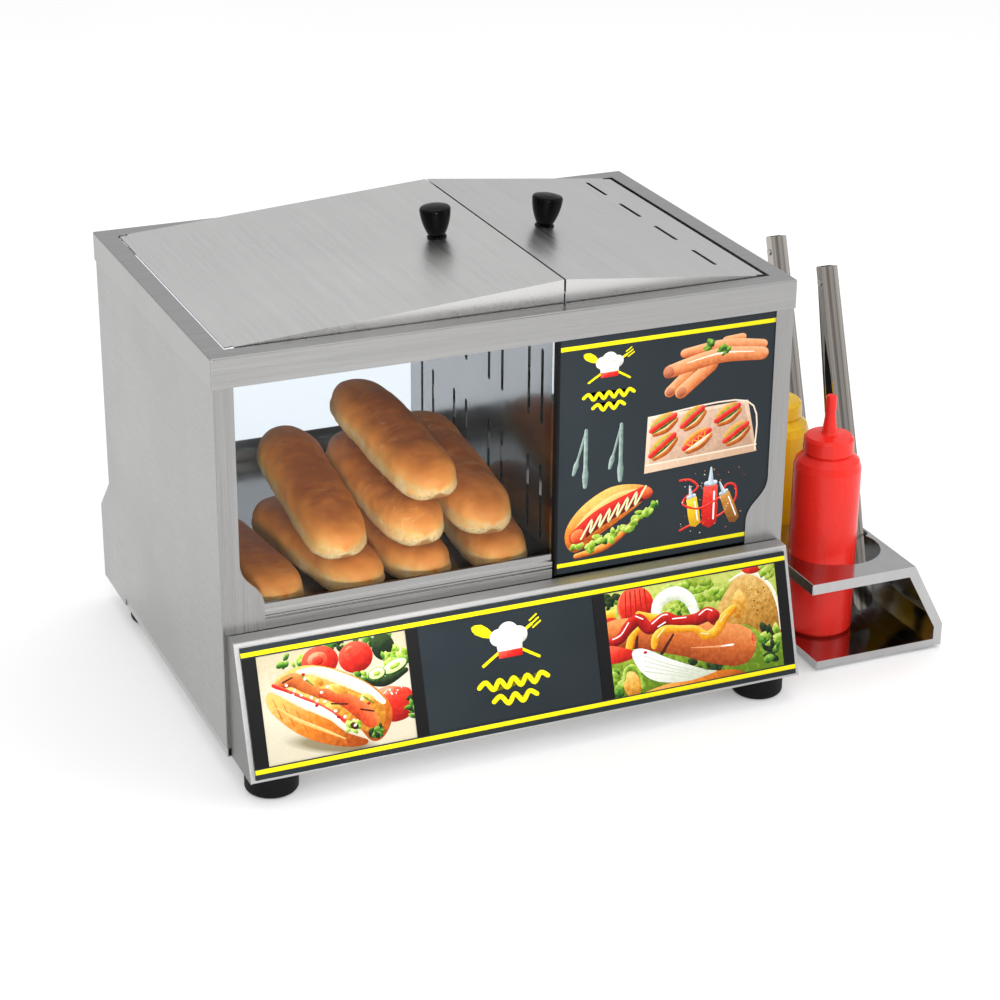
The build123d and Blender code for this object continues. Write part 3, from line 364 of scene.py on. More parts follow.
def two_part(name, first, second, index, split):
    """One node made of two stuffs: first below the place split on an axis, second above it."""
    look = Look(name)
    side = look.above(look.axis(look.here, index), split)
    wear = look.noise(150, detail=4)
    shade = look.ramp(wear, (0.3, grey(0.82)), (0.7, grey(1.0)))
    colour = look.mix(side, first["colour"], second["colour"])
    look.set("Base Color", look.tint(colour, shade))
    look.set("Metallic", look.span(side, 0.0, 1.0, first["metal"], second["metal"]))
    rough = look.span(side, 0.0, 1.0, first["rough"], second["rough"])
    look.set("Roughness", look.plus(rough, look.span(wear, 0.3, 0.7, -0.04, 0.06)))
    look.bump(look.noise(900, detail=3), 0.00002)
    return look.material


STEEL = {"colour": grey(0.58), "metal": 1.0, "rough": 0.25}
BRASS = {"colour": rgb(205, 170, 100), "metal": 1.0, "rough": 0.25}
BLACK = {"colour": rgb(24, 24, 25), "metal": 0.0, "rough": 0.4}
WHITE = {"colour": rgb(225, 225, 220), "metal": 0.0, "rough": 0.4}
RED_GRIP = {"colour": rgb(190, 30, 28), "metal": 0.0, "rough": 0.45}


# ---------------------------------------------------------------- frame nodes
PLUG_PIN = 19 * MM      # bare length of the plug's pins
LEVER_GRIP = 40 * MM    # length of the red grip on the drain lever
DIAL_LINE = 0.7 * MM    # thickness of the white mark on the thermostat knob


def dress(material, *names):
    """Give frame nodes one material in every slot."""
    for name in names:
        slots = nodes[name].material_slots
        if not slots:
            nodes[name].data.materials.append(material)
        for slot in slots:
            slot.material = material


def middle(name):
    low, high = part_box(name)
    return (low + high) / 2


def tongs_line(pair):
    """Lowest and highest point of the middle line of a pair of tongs."""
    low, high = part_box(pair + "_front_arm")
    other_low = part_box(pair + "_rear_arm")[0]
    pivot = middle(pair + "_pivot")
    x = (low.x + high.x) / 2
    joint = next(j for j in frame["record"]["behaviour"]["joints"] if j["name"] == pair + "_lift")
    along = Vector(joint["axis"]).normalized()
    drop = (pivot.z - min(low.z, other_low.z)) / along.z
    head = Vector((x, pivot.y, pivot.z)) + along * (high.z - pivot.z) / along.z
    return Vector((x, pivot.y, pivot.z)) - along * drop, head


def dress_frame():
    # Painted light and shade: the stainless parts take different tones for how light falls on them, the
    # upright side panels, top frame, housing and rail darker and the lids lighter.
    dress(brushed_steel("steel_side_panels", 1, shade=0.34, fold_grain=2),
          "left_side_panel", "right_side_panel")
    dress(brushed_steel("steel_top_frame", 0, shade=0.38, gloss=0.3), "top_frame")
    dress(brushed_steel("steel_lids", 1, shade=0.66, gloss=0.3, contrast=0.4), "left_lid", "right_lid")
    dress(brushed_steel("steel_housing", 0, shade=0.44, gloss=0.34), "control_housing", "rear_frame")
    # the sign box's cheeks get painted shade
    dress(brushed_steel("steel_sign_box", 0, shade=0.56, gloss=0.5, painted_cheek_shade=0.5), "sign_housing")
    dress(brushed_steel("steel_rail", 0, shade=0.37, gloss=0.2), "window_rail")
    dress(brushed_steel("steel_plain", 1, shade=0.5, gloss=0.34),
          "base_pan", "glass_clips", "tank_supports", "basket_rails")
    dress(polished_steel("steel_mirror", shade=0.35, gloss=0.16), "partition", "bun_floor")
    dress(polished_steel("steel_bath", shade=0.4, gloss=0.22), "water_tank", "sausage_basket")
    dress(polished_steel("steel_stand", shade=0.48, gloss=0.1), "condiment_stand")
    for pair in ("front_tongs", "rear_tongs"):
        dress(channel_steel(pair + "_steel", *tongs_line(pair)), pair + "_front_arm", pair + "_rear_arm")
        dress(turned_metal(pair + "_pin", rgb(190, 190, 186)), pair + "_pivot")
    dress(turned_metal("zinc_screws", rgb(190, 190, 186)),
          "foot_screws", "lid_hinge_pins", "panel_screws", "left_knob_screw", "right_knob_screw")
    dress(turned_metal("brass", rgb(214, 178, 104)), "element_glands", "drain_valve")
    dress(turned_metal("plated_case", rgb(170, 170, 165), 0.4), "thermostat_body", "safety_thermostat")
    dress(turned_metal("copper_bulb", rgb(205, 130, 95), 0.32), "thermostat_bulb")
    dress(heated_metal("element_sheath"), "heating_element")
    dress(clear_glass("glass_front"), "front_glass")
    # the rear pane is painted dark as shade from the partition on
    dress(clear_glass("glass_rear", (0.93, 0.96, 0.99, 1.0), middle("partition").x), "rear_glass")
    dress(bakelite("black_knob"), "left_lid_knob", "right_lid_knob")
    dress(moulded_plastic("black_nylon", rgb(26, 26, 27), 0.42), "switch_body", "cable_gland")
    dress(moulded_plastic("ceramic_white", rgb(225, 222, 210), 0.3), "terminal_block")
    dress(moulded_plastic("reset_red", rgb(200, 30, 26), 0.3), "reset_button")
    dress(moulded_plastic("rocker_black", rgb(16, 16, 17), 0.25), "power_rocker")
    dress(moulded_plastic("ketchup_plastic", rgb(255, 44, 32), 0.26, 0.00001, 0.08),
          "ketchup_bottle", "ketchup_cap")
    dress(moulded_plastic("mustard_plastic", rgb(255, 204, 20), 0.26, 0.00001, 0.08),
          "mustard_bottle", "mustard_cap")
    dress(rubber("black_rubber"), "feet", "stand_feet", "board_edge_seal")
    dress(rubber("cord_rubber", rgb(30, 30, 31)), "power_cord")
    dress(signal_lens(rgb(60, 190, 70), rgb(240, 150, 30), middle("pilot_lamps").z), "pilot_lamps")
    pin_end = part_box("power_plug")[0].x + PLUG_PIN
    dress(two_part("plug", BRASS, BLACK, 0, pin_end), "power_plug")
    grip_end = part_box("drain_lever")[0].x + LEVER_GRIP
    dress(two_part("lever", RED_GRIP, STEEL, 0, grip_end), "drain_lever")
    line_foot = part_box("thermostat_knob")[1].y - DIAL_LINE
    dress(two_part("dial", BLACK, WHITE, 1, line_foot), "thermostat_knob")
    dress(slate_print("slate_print"), "sign_panel", "menu_board")


def slate_print(name):
    """Satin-laminated dark slate ground of the printed plates."""
    look = Look(name, specular_ior_level=0.2)
    cloud = look.noise(12, detail=2)
    dots = look.noise(2500, detail=1)
    return look.finish(look.ramp(cloud, (0.3, rgb(34, 42, 47)), (0.7, rgb(39, 47, 52))),
                       look.span(cloud, 0.3, 0.7, 0.38, 0.46), dots, 0.000006)


def link(made):
    """Put an object in the scene."""
    bpy.context.scene.collection.objects.link(made)
    return made


# ---------------------------------------------------------------- bread rolls
def crust_look():
    """Soft roll: golden crown, torn pale sides and a brown base, told apart by the mesh's bake value, which
    also holds painted shade on top of the crown and painted light towards its ends.
    """
    look = Look("bread_crust", subsurface_weight=0.1, subsurface_scale=0.003, specular_ior_level=0.25)
    bake_and_light = look.node("Attribute", attribute_name="bake_and_light").outputs["Fac"]
    blotch = look.noise(24, detail=5, distortion=0.6)
    patch = look.span(look.noise(15, detail=2), 0.45, 0.6)
    pores = look.noise(700, detail=4)
    fibre = look.noise(420, (1.0, 0.5, 0.25), detail=5)
    crumb = look.noise(620, detail=6, distortion=0.5)
    ridge = look.math("ABSOLUTE", look.math("SUBTRACT", look.noise(30, (1.0, 2.6, 1.0), 3, 1.2), 0.5))
    wrinkle = look.times(look.span(ridge, 0.0, 0.012, 1.0, 0.0), patch)
    tear = look.span(look.noise(70, detail=5), 0.3, 0.7, -0.05, 0.05)
    ragged = look.plus(look.plus(bake_and_light, tear), look.span(fibre, 0.2, 0.8, -0.04, 0.04))
    # the darkest stop, at the top of the crown, is partly bake and partly painted shade
    colour = look.ramp(ragged, (0.0, rgb(170, 120, 70)), (0.06, rgb(200, 158, 104)),
                       (0.14, rgb(224, 200, 152)), (0.4, rgb(238, 216, 170)), (0.5, rgb(234, 190, 120)),
                       (0.6, rgb(240, 170, 92)), (0.78, rgb(224, 142, 68)), (1.0, rgb(164, 90, 44)))
    tone = look.ramp(blotch, (0.3, rgb(222, 208, 196)), (0.55, rgb(244, 238, 230)),
                     (0.75, rgb(255, 255, 255)))
    colour = look.tint(colour, tone)
    torn = look.times(look.span(bake_and_light, 0.04, 0.12), look.span(bake_and_light, 0.4, 0.5, 1.0, 0.0))
    grain = look.ramp(crumb, (0.36, rgb(196, 186, 160)), (0.58, rgb(255, 255, 255)))
    colour = look.mix(torn, colour, look.tint(colour, grain))
    colour = look.mix(look.times(wrinkle, 0.35), colour, rgb(244, 196, 132))
    look.set("Base Color", colour)
    look.set("Subsurface Radius", (1.0, 0.5, 0.25))
    glaze = look.span(bake_and_light, 0.45, 0.75, 0.8, 0.5)
    look.set("Roughness", look.plus(glaze, look.span(blotch, 0.3, 0.7, -0.03, 0.06)))
    relief = look.times(crumb, look.span(torn, 0.0, 1.0, 0.15, 2.6))
    relief = look.plus(relief, look.times(pores, 0.4))
    look.bump(look.math("SUBTRACT", relief, wrinkle), 0.0003, 0.8)
    return look.material


LOAF_RINGS = 120
LOAF_SIDES = 96
CREASE = -0.05          # place of the torn edge above the loaf's middle, as a share of its height


def rounding(u, start, power):
    """Share of the full section left at u: all of it up to start, then a rounded end."""
    t = max(0.0, (abs(u) - start) / (1 - start))
    return (1 - t ** power) ** (1 / power)


def loaf_point(u, angle, size):
    """Point of the plain loaf and its bake value, with painted light and shade in it on the crown; u runs
    -1..1 along Y, angle round the section.
    """
    width, length, height = size
    full = rounding(u, 0.5, 2.3)
    crown_full = rounding(u, 0.32, 2.5)
    low_full = rounding(u, 0.56, 2.5)
    across, rise = math.cos(angle), math.sin(angle)
    side = math.copysign(1.0, across)
    if rise >= 0:
        x = side * width / 2 * abs(across) ** 0.86 * full
        z = (0.5 - CREASE) * height * rise ** 0.92 * crown_full
        # crown: browner towards the top and paler towards both ends, partly bake and partly painted shade on
        # top and painted light on the ends
        bake_and_light = 0.47 + 0.53 * min(1.0, rise ** 0.8 * 1.05) * (1 - 0.55 * abs(u) ** 3)
        y = u * length / 2
    else:
        x = side * (width / 2 - 0.055 * width * (1 - abs(across) ** 6)) * abs(across) ** 0.42 * low_full
        z = -(0.5 + CREASE) * height * abs(rise) ** 0.42 * low_full ** 0.5
        bake_and_light = 0.47 - 0.47 * min(1.0, abs(rise) ** 1.6 * 1.15)
        y = u * (length / 2 - 0.012 * length * min(1.0, abs(rise) * 3) * low_full)
    return Vector((x, y, z + CREASE * height)), bake_and_light


def roughen(point, bake_and_light, seed, size):
    """Lumps of the dough, wrinkles of the crown and torn crumb at the sides, in real relief."""
    away = Vector((point.x / size[0], point.y / size[1] * 0.6, point.z / size[2])).normalized()
    shift = Vector((seed * 3.7, seed * 1.3, seed * 7.1))
    lump = noise.noise(point * 26 + shift) * 2.0 * MM
    dimple = noise.noise(point * 90 + shift) * 0.7 * MM
    crown = max(0.0, (bake_and_light - 0.6) / 0.4)
    fold = abs(noise.noise(Vector((point.x * 40, point.y * 210, point.z * 60)) + shift))
    wrinkle = -0.6 * MM * crown * max(0.0, 0.18 - fold) / 0.18
    torn = max(0.0, 1 - abs(bake_and_light - 0.36) / 0.16)
    crumb = (noise.noise(point * 420 + shift) + 0.5 * noise.noise(point * 900 + shift)) * 0.8 * MM * torn
    return point + away * (lump + dimple + wrinkle + crumb)


def build_loaf(name, size, seed):
    """Closed roll of rings from end to end, with its bake value, painted light and shade included, on every
    vertex.
    """
    mesh = bmesh.new()
    bake_and_light_layer = mesh.verts.layers.float.new("bake_and_light")
    rings = []
    for i in range(1, LOAF_RINGS):
        u = -math.cos(math.pi * i / LOAF_RINGS)
        u = math.copysign(abs(u) ** 0.9, u) * 0.999
        ring = []
        for j in range(LOAF_SIDES):
            point, bake_and_light = loaf_point(u, math.tau * j / LOAF_SIDES, size)
            vertex = mesh.verts.new(roughen(point, bake_and_light, seed, size))
            vertex[bake_and_light_layer] = bake_and_light
            ring.append(vertex)
        rings.append(ring)
    for first, second in zip(rings, rings[1:]):
        for j in range(LOAF_SIDES):
            k = (j + 1) % LOAF_SIDES
            mesh.faces.new((first[j], first[k], second[k], second[j]))
    for ring, flip in ((rings[0], True), (rings[-1], False)):
        centre = sum((vertex.co for vertex in ring), Vector()) / LOAF_SIDES
        pole = mesh.verts.new(centre)
        pole[bake_and_light_layer] = 0.6
        for j in range(LOAF_SIDES):
            pair = (ring[j], ring[(j + 1) % LOAF_SIDES])
            mesh.faces.new((pole,) + (pair[::-1] if flip else pair))
    bmesh.ops.recalc_face_normals(mesh, faces=mesh.faces)
    return mesh_object(name, mesh)


def mesh_object(name, mesh, smooth=True):
    """Turn a bmesh into a linked object."""
    data = bpy.data.meshes.new(name)
    mesh.to_mesh(data)
    mesh.free()
    for polygon in data.polygons:
        polygon.use_smooth = smooth
    return link(bpy.data.objects.new(name, data))


def loaf_places():
    """Centre, yaw and pitch of each loaf of the pile, from the frame's solids."""
    mesh = bmesh.new()
    mesh.from_mesh(nodes["hot_dog_buns"].data)
    bmesh.ops.remove_doubles(mesh, verts=mesh.verts, dist=1e-6)
    waiting, places = set(mesh.verts), []
    while waiting:
        island, edge = set(), [next(iter(waiting))]
        while edge:
            vertex = edge.pop()
            if vertex in island:
                continue
            island.add(vertex)
            edge += [e.other_vert(vertex) for e in vertex.link_edges]
        waiting -= island
        points = [vertex.co for vertex in island]
        low = Vector(min(p[i] for p in points) for i in range(3))
        high = Vector(max(p[i] for p in points) for i in range(3))
        centre = (low + high) / 2
        spread = [[sum((p[i] - centre[i]) * (p[j] - centre[j]) for p in points) for j in range(3)]
                  for i in range(3)]
        yaw = 0.5 * math.atan2(2 * spread[0][1], spread[1][1] - spread[0][0])
        pitch = 0.5 * math.atan2(2 * spread[1][2], spread[1][1] - spread[2][2])
        places.append((round(centre.z, 4), round(centre.x, 4), centre, -yaw, pitch))
    mesh.free()
    return [place[2:] for place in sorted(places, key=lambda place: place[:2])]


LOAF_SIZE = (61 * MM, 200 * MM, 42 * MM)


def build_loaves():
    """One roll for each solid of the pile."""
    look = crust_look()
    for number, (centre, yaw, pitch) in enumerate(loaf_places(), 1):
        loaf = build_loaf(f"bread_roll_{number}", LOAF_SIZE, number)
        turn = Matrix.Rotation(yaw, 4, "Z") @ Matrix.Rotation(pitch, 4, "X")
        loaf.data.transform(Matrix.Translation(centre) @ turn)
        loaf.data.materials.append(look)
        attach(loaf, "cabinet")
        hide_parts("hot_dog_buns")


# ---------------------------------------------------------------- printing
INK = 0.0025 * MM       # thickness of one printed layer
LIT = (-0.35, 0.94)     # the way the light comes in the pictures


def smooth_line(points, closed, steps):
    """Catmull-Rom curve through the points; numbers after x and y are carried along."""
    count = len(points)
    line = []
    for i in range(count if closed else count - 1):
        if closed:
            near = [points[(i + k - 1) % count] for k in range(4)]
        else:
            near = [points[min(max(i + k - 1, 0), count - 1)] for k in range(4)]
        for step in range(steps):
            t = step / steps
            line.append(tuple(
                b + 0.5 * t * (c - a + t * (2 * a - 5 * b + 4 * c - d + t * (3 * (b - c) + d - a)))
                for a, b, c, d in zip(*near)))
    return line if closed else line + [tuple(points[-1])]


class Print:
    """Artwork on a flat plate, in millimetres from its lower left corner.

    Every shape is a thin closed slab that stands on the plate, one ink layer higher than the last, in an
    ink given by name.
    Its UV map says how far a point is from the shape's middle and how far round to its lit side.
    """

    def __init__(self, name, node, seed, inks):
        self.name = name
        self.inks = inks
        self.corner, self.right, self.up, self.out, self.size = plate_face(node)
        self.mesh = bmesh.new()
        self.uv = self.mesh.loops.layers.uv.new("art")
        self.looks = []
        self.layers = 0
        self.shift = (0.0, 0.0)
        self.random = random.Random(seed)

    def place(self, x, y, height):
        x, y = x + self.shift[0], y + self.shift[1]
        return self.corner + (self.right * x + self.up * y) * MM + self.out * height

    def add(self, points, faces, outline, look):
        """Raise a shape: points are (x, y, from middle, lit), outline the numbers round its edge."""
        if look not in self.looks:
            self.looks.append(look)
        self.layers += 1
        height = self.layers * INK
        top = [self.mesh.verts.new(self.place(x, y, height)) for x, y, _, _ in points]
        base = [self.mesh.verts.new(self.place(points[i][0], points[i][1], 0.0)) for i in outline]
        made = []
        for face in faces:
            made.append(self.mesh.faces.new([top[i] for i in face]))
            for loop, i in zip(made[-1].loops, face):
                loop[self.uv].uv = points[i][2:]
        made.append(self.mesh.faces.new(base[::-1]))
        for k, i in enumerate(outline):
            after = (k + 1) % len(outline)
            made.append(self.mesh.faces.new((base[k], base[after], top[outline[after]], top[i])))
        for face in made:
            face.material_index = self.looks.index(look)

    def blob(self, points, look, steps=5):
        """Closed shape with a smooth outline; with steps=1 its edges are straight."""
        line = smooth_line(points, True, steps)
        count = len(line)
        cx, cy = (sum(p[k] for p in line) / count for k in range(2))
        reach = max(abs((x - cx) * LIT[0] + (y - cy) * LIT[1]) for x, y in line)
        made, faces = [], []
        shares = (1.0, 0.88, 0.7, 0.45)
        for share in shares:
            for x, y in line:
                dx, dy = (x - cx) * share, (y - cy) * share
                lit = 0.5 + 0.5 * (dx * LIT[0] + dy * LIT[1]) / reach
                made.append((cx + dx, cy + dy, share, lit))
        made.append((cx, cy, 0.0, 0.5))
        for ring in range(len(shares) - 1):
            for i in range(count):
                j = (i + 1) % count
                a, b = ring * count, (ring + 1) * count
                faces.append((a + i, a + j, b + j, b + i))
        inner = (len(shares) - 1) * count
        faces += [(inner + i, inner + (i + 1) % count, len(made) - 1) for i in range(count)]
        self.add(made, faces, list(range(count)), look)

    def oval(self, x, y, rx, ry, look, tilt=0.0):
        turn = math.radians(tilt)
        points = []
        for k in range(10):
            a, b = rx * math.cos(math.tau * k / 10), ry * math.sin(math.tau * k / 10)
            points.append((x + a * math.cos(turn) - b * math.sin(turn),
                           y + a * math.sin(turn) + b * math.cos(turn)))
        self.blob(points, look, 3)

    def leaf(self, x, y, length, width, angle, look):
        """Pointed, slightly curled leaf."""
        shape = ((-0.5, 0.0), (-0.2, 0.42), (0.15, 0.5), (0.5, 0.08), (0.2, -0.3), (-0.2, -0.4))
        c, s = math.cos(angle), math.sin(angle)
        self.blob([(x + a * length * c - b * width * s, y + a * length * s + b * width * c)
                   for a, b in shape], look, 3)

    def foliage(self, x, y, rx, ry, count, size, *looks):
        """Heap of leaves in an oval."""
        for _ in range(count):
            far, way = self.random.random() ** 0.5, self.random.uniform(0, math.tau)
            long = size * self.random.uniform(0.7, 1.3)
            self.leaf(x + rx * far * math.cos(way), y + ry * far * math.sin(way), long,
                      long * self.random.uniform(0.45, 0.8), self.random.uniform(0, math.tau),
                      self.random.choice(looks))

    def dots(self, x0, y0, x1, y1, count, size, *looks):
        """Scatter of small crumbs or drops."""
        for _ in range(count):
            r = size * self.random.uniform(0.5, 1.3)
            self.oval(self.random.uniform(x0, x1), self.random.uniform(y0, y1), r,
                      r * self.random.uniform(0.5, 1.0), self.random.choice(looks),
                      self.random.uniform(0, 180))

    def stroke(self, points, width, look, steps=6):
        """Round-ended ribbon along a smooth line; width is one number, or one for each point."""
        widths = width if isinstance(width, (list, tuple)) else [width] * len(points)
        line = smooth_line([(x, y, w / 2) for (x, y), w in zip(points, widths)], False, steps)
        stations = [self.cap(line[0], line[1], share) for share in (1.0, 0.88, 0.6)]
        stations += line
        stations += [self.cap(line[-1], line[-2], share) for share in (0.6, 0.88, 1.0)]
        across = (-1.0, -0.7, 0.0, 0.7, 1.0)
        made, faces, rows = [], [], len(stations)
        for i, (x, y, half) in enumerate(stations):
            before, after = stations[max(i - 1, 0)], stations[min(i + 1, rows - 1)]
            dx, dy = after[0] - before[0], after[1] - before[1]
            length = math.hypot(dx, dy) or 1.0
            nx, ny = -dy / length, dx / length
            facing = nx * LIT[0] + ny * LIT[1]
            facing = math.copysign(max(abs(facing), 0.55), facing)
            for a in across:
                made.append((x + nx * half * a, y + ny * half * a, abs(a), 0.5 + 0.5 * a * facing))
        wide = len(across)
        for i in range(rows - 1):
            for k in range(wide - 1):
                a = i * wide + k
                faces.append((a, a + wide, a + wide + 1, a + 1))
        outline = [i * wide for i in range(rows)] + [(rows - 1) * wide + k for k in range(1, wide)]
        outline += [i * wide + wide - 1 for i in range(rows - 2, -1, -1)]
        outline += list(range(wide - 2, 0, -1))
        self.add(made, faces, outline, look)

    def cap(self, end, inner, share):
        """Station of a rounded end, share of the half width beyond it."""
        dx, dy = end[0] - inner[0], end[1] - inner[1]
        length = math.hypot(dx, dy) or 1.0
        out = end[2] * share
        return (end[0] + dx / length * out, end[1] + dy / length * out,
                end[2] * max(0.12, math.sqrt(max(0.0, 1 - share * share))))

    def block(self, x0, y0, x1, y1, look):
        """Rectangle whose UV runs across and up."""
        self.add([(x0, y0, 0, 0), (x1, y0, 1, 0), (x1, y1, 1, 1), (x0, y1, 0, 1)],
                 [(0, 1, 2, 3)], [0, 1, 2, 3], look)

    def wave(self, x0, x1, y, rise, bends, width, look):
        """Wavy line with rounded ends."""
        count = bends * 2
        points = [(x0 + (x1 - x0) * k / count, y + rise * (1 if k % 2 else -1) * (0 < k < count))
                  for k in range(count + 1)]
        self.stroke(points, width, look)

    def finish(self):
        bmesh.ops.recalc_face_normals(self.mesh, faces=self.mesh.faces)
        made = mesh_object(self.name, self.mesh, smooth=False)
        for look in self.looks:
            made.data.materials.append(self.inks[look])
        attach(made, "cabinet")


def plate_face(node):
    """Outer face of a plate: lower left corner, directions right, up and out, and size in mm."""
    data = nodes[node].data
    face = max((p for p in data.polygons if p.normal.y < -0.5), key=lambda p: p.area)
    right, out = Vector((1, 0, 0)), face.normal.normalized()
    up = out.cross(right)
    anchor = data.vertices[face.vertices[0]].co
    spots = [v.co - anchor for v in data.vertices if abs((v.co - anchor).dot(out)) < 1e-6]
    low_x, high_x = min(s.dot(right) for s in spots), max(s.dot(right) for s in spots)
    low_y, high_y = min(s.dot(up) for s in spots), max(s.dot(up) for s in spots)
    corner = anchor + right * low_x + up * low_y
    return corner, right, up, out, ((high_x - low_x) / MM, (high_y - low_y) / MM)


def ink(name, dark, middle_tone, light, blotch=0.14, scale=260, edge=None):
    """Printed colour: shaded from its dark to its lit side, blotched, under clear laminate."""
    look = Look("ink_" + name, roughness=0.38, specular_ior_level=0.2)
    from_middle, lit = look.axis(look.uv, 0), look.axis(look.uv, 1)
    noise_part = look.span(look.noise(scale, detail=4), 0.25, 0.75, -blotch, blotch)
    value = look.plus(lit, noise_part)
    colour = look.ramp(value, (0.08, rgb(*dark)), (0.5, rgb(*middle_tone)), (0.95, rgb(*light)))
    if edge:
        rim = look.span(from_middle, 0.55, 1.0)
        colour = look.mix(rim, colour, rgb(*edge))
    look.set("Base Color", colour)
    return look.material


def make_inks():
    """Every printed colour by name, each as dark, middle and light."""
    tones = {
        "black": ((13, 13, 14), (17, 17, 18), (22, 22, 23)),
        "stripe": ((246, 228, 4), (250, 235, 10), (253, 240, 30)),
        "paper": ((216, 206, 180), (224, 216, 194), (206, 194, 160)),
        "crust": ((160, 66, 10), (232, 130, 36), (250, 196, 104)),
        "streak": ((186, 88, 22), (206, 106, 30), (222, 124, 42)),
        "glow": ((240, 170, 84), (248, 192, 110), (252, 214, 146)),
        "crumb": ((224, 196, 140), (250, 243, 224), (255, 253, 246)),
        "filling": ((190, 116, 24), (232, 170, 66), (250, 212, 120)),
        "sausage": ((150, 58, 16), (212, 108, 46), (246, 162, 92)),
        "red_sausage": ((158, 36, 14), (226, 84, 38), (248, 142, 84)),
        "frank": ((196, 96, 44), (240, 150, 92), (252, 190, 140)),
        "frank_end": ((150, 74, 44), (196, 112, 76), (226, 150, 110)),
        "ketchup": ((96, 4, 6), (178, 16, 16), (226, 50, 40)),
        "bright_red": ((196, 18, 14), (230, 36, 28), (250, 110, 90)),
        "mustard": ((206, 116, 6), (246, 176, 30), (255, 224, 96)),
        "tomato": ((146, 14, 8), (222, 42, 26), (246, 96, 70)),
        "flesh": ((206, 50, 30), (236, 90, 56), (250, 170, 130)),
        "leaf": ((22, 56, 16), (74, 134, 34), (158, 200, 74)),
        "lettuce": ((82, 122, 22), (150, 190, 52), (218, 232, 128)),
        "shade_green": ((12, 22, 12), (26, 44, 22), (58, 84, 40)),
        "blurred_green": ((96, 130, 24), (158, 186, 60), (206, 214, 110)),
        "cucumber": ((196, 214, 140), (226, 234, 180), (244, 246, 214)),
        "onion": ((206, 214, 190), (240, 242, 232), (254, 254, 250)),
        "onion_line": ((190, 200, 172), (206, 214, 190), (220, 226, 206)),
        "shine": ((250, 246, 238), (255, 252, 248), (255, 255, 255)),
        "slit": ((44, 16, 6), (70, 28, 10), (96, 44, 18)),
        "tan_bun": ((150, 96, 24), (202, 148, 60), (236, 196, 116)),
        "tray": ((214, 176, 144), (232, 200, 172), (242, 218, 196)),
        "tray_floor": ((196, 156, 128), (214, 178, 152), (226, 194, 170)),
        "tray_rim": ((240, 214, 190), (248, 228, 208), (252, 238, 222)),
        "tong_steel": ((70, 88, 82), (126, 148, 140), (196, 212, 204)),
        "nozzle": ((140, 160, 172), (196, 214, 224), (240, 248, 252)),
        "bottle_yellow": ((214, 160, 10), (244, 200, 30), (252, 226, 90)),
        "bottle_brown": ((130, 78, 20), (188, 124, 44), (222, 168, 90)),
        "hat": ((196, 196, 186), (240, 240, 232), (255, 255, 250)),
    }
    coarse = ("tan_bun", "filling", "leaf", "lettuce", "blurred_green", "tray_floor")
    inks = {name: ink(name, *shades, blotch=0.3 if name in coarse else 0.14)
            for name, shades in tones.items()}
    inks["cast_shade"] = ink("cast_shade", (128, 116, 86), (140, 128, 98), (150, 138, 108), 0.1, 60,
                             (220, 211, 187))
    inks["slate"] = nodes["menu_board"].material_slots[0].material
    return inks


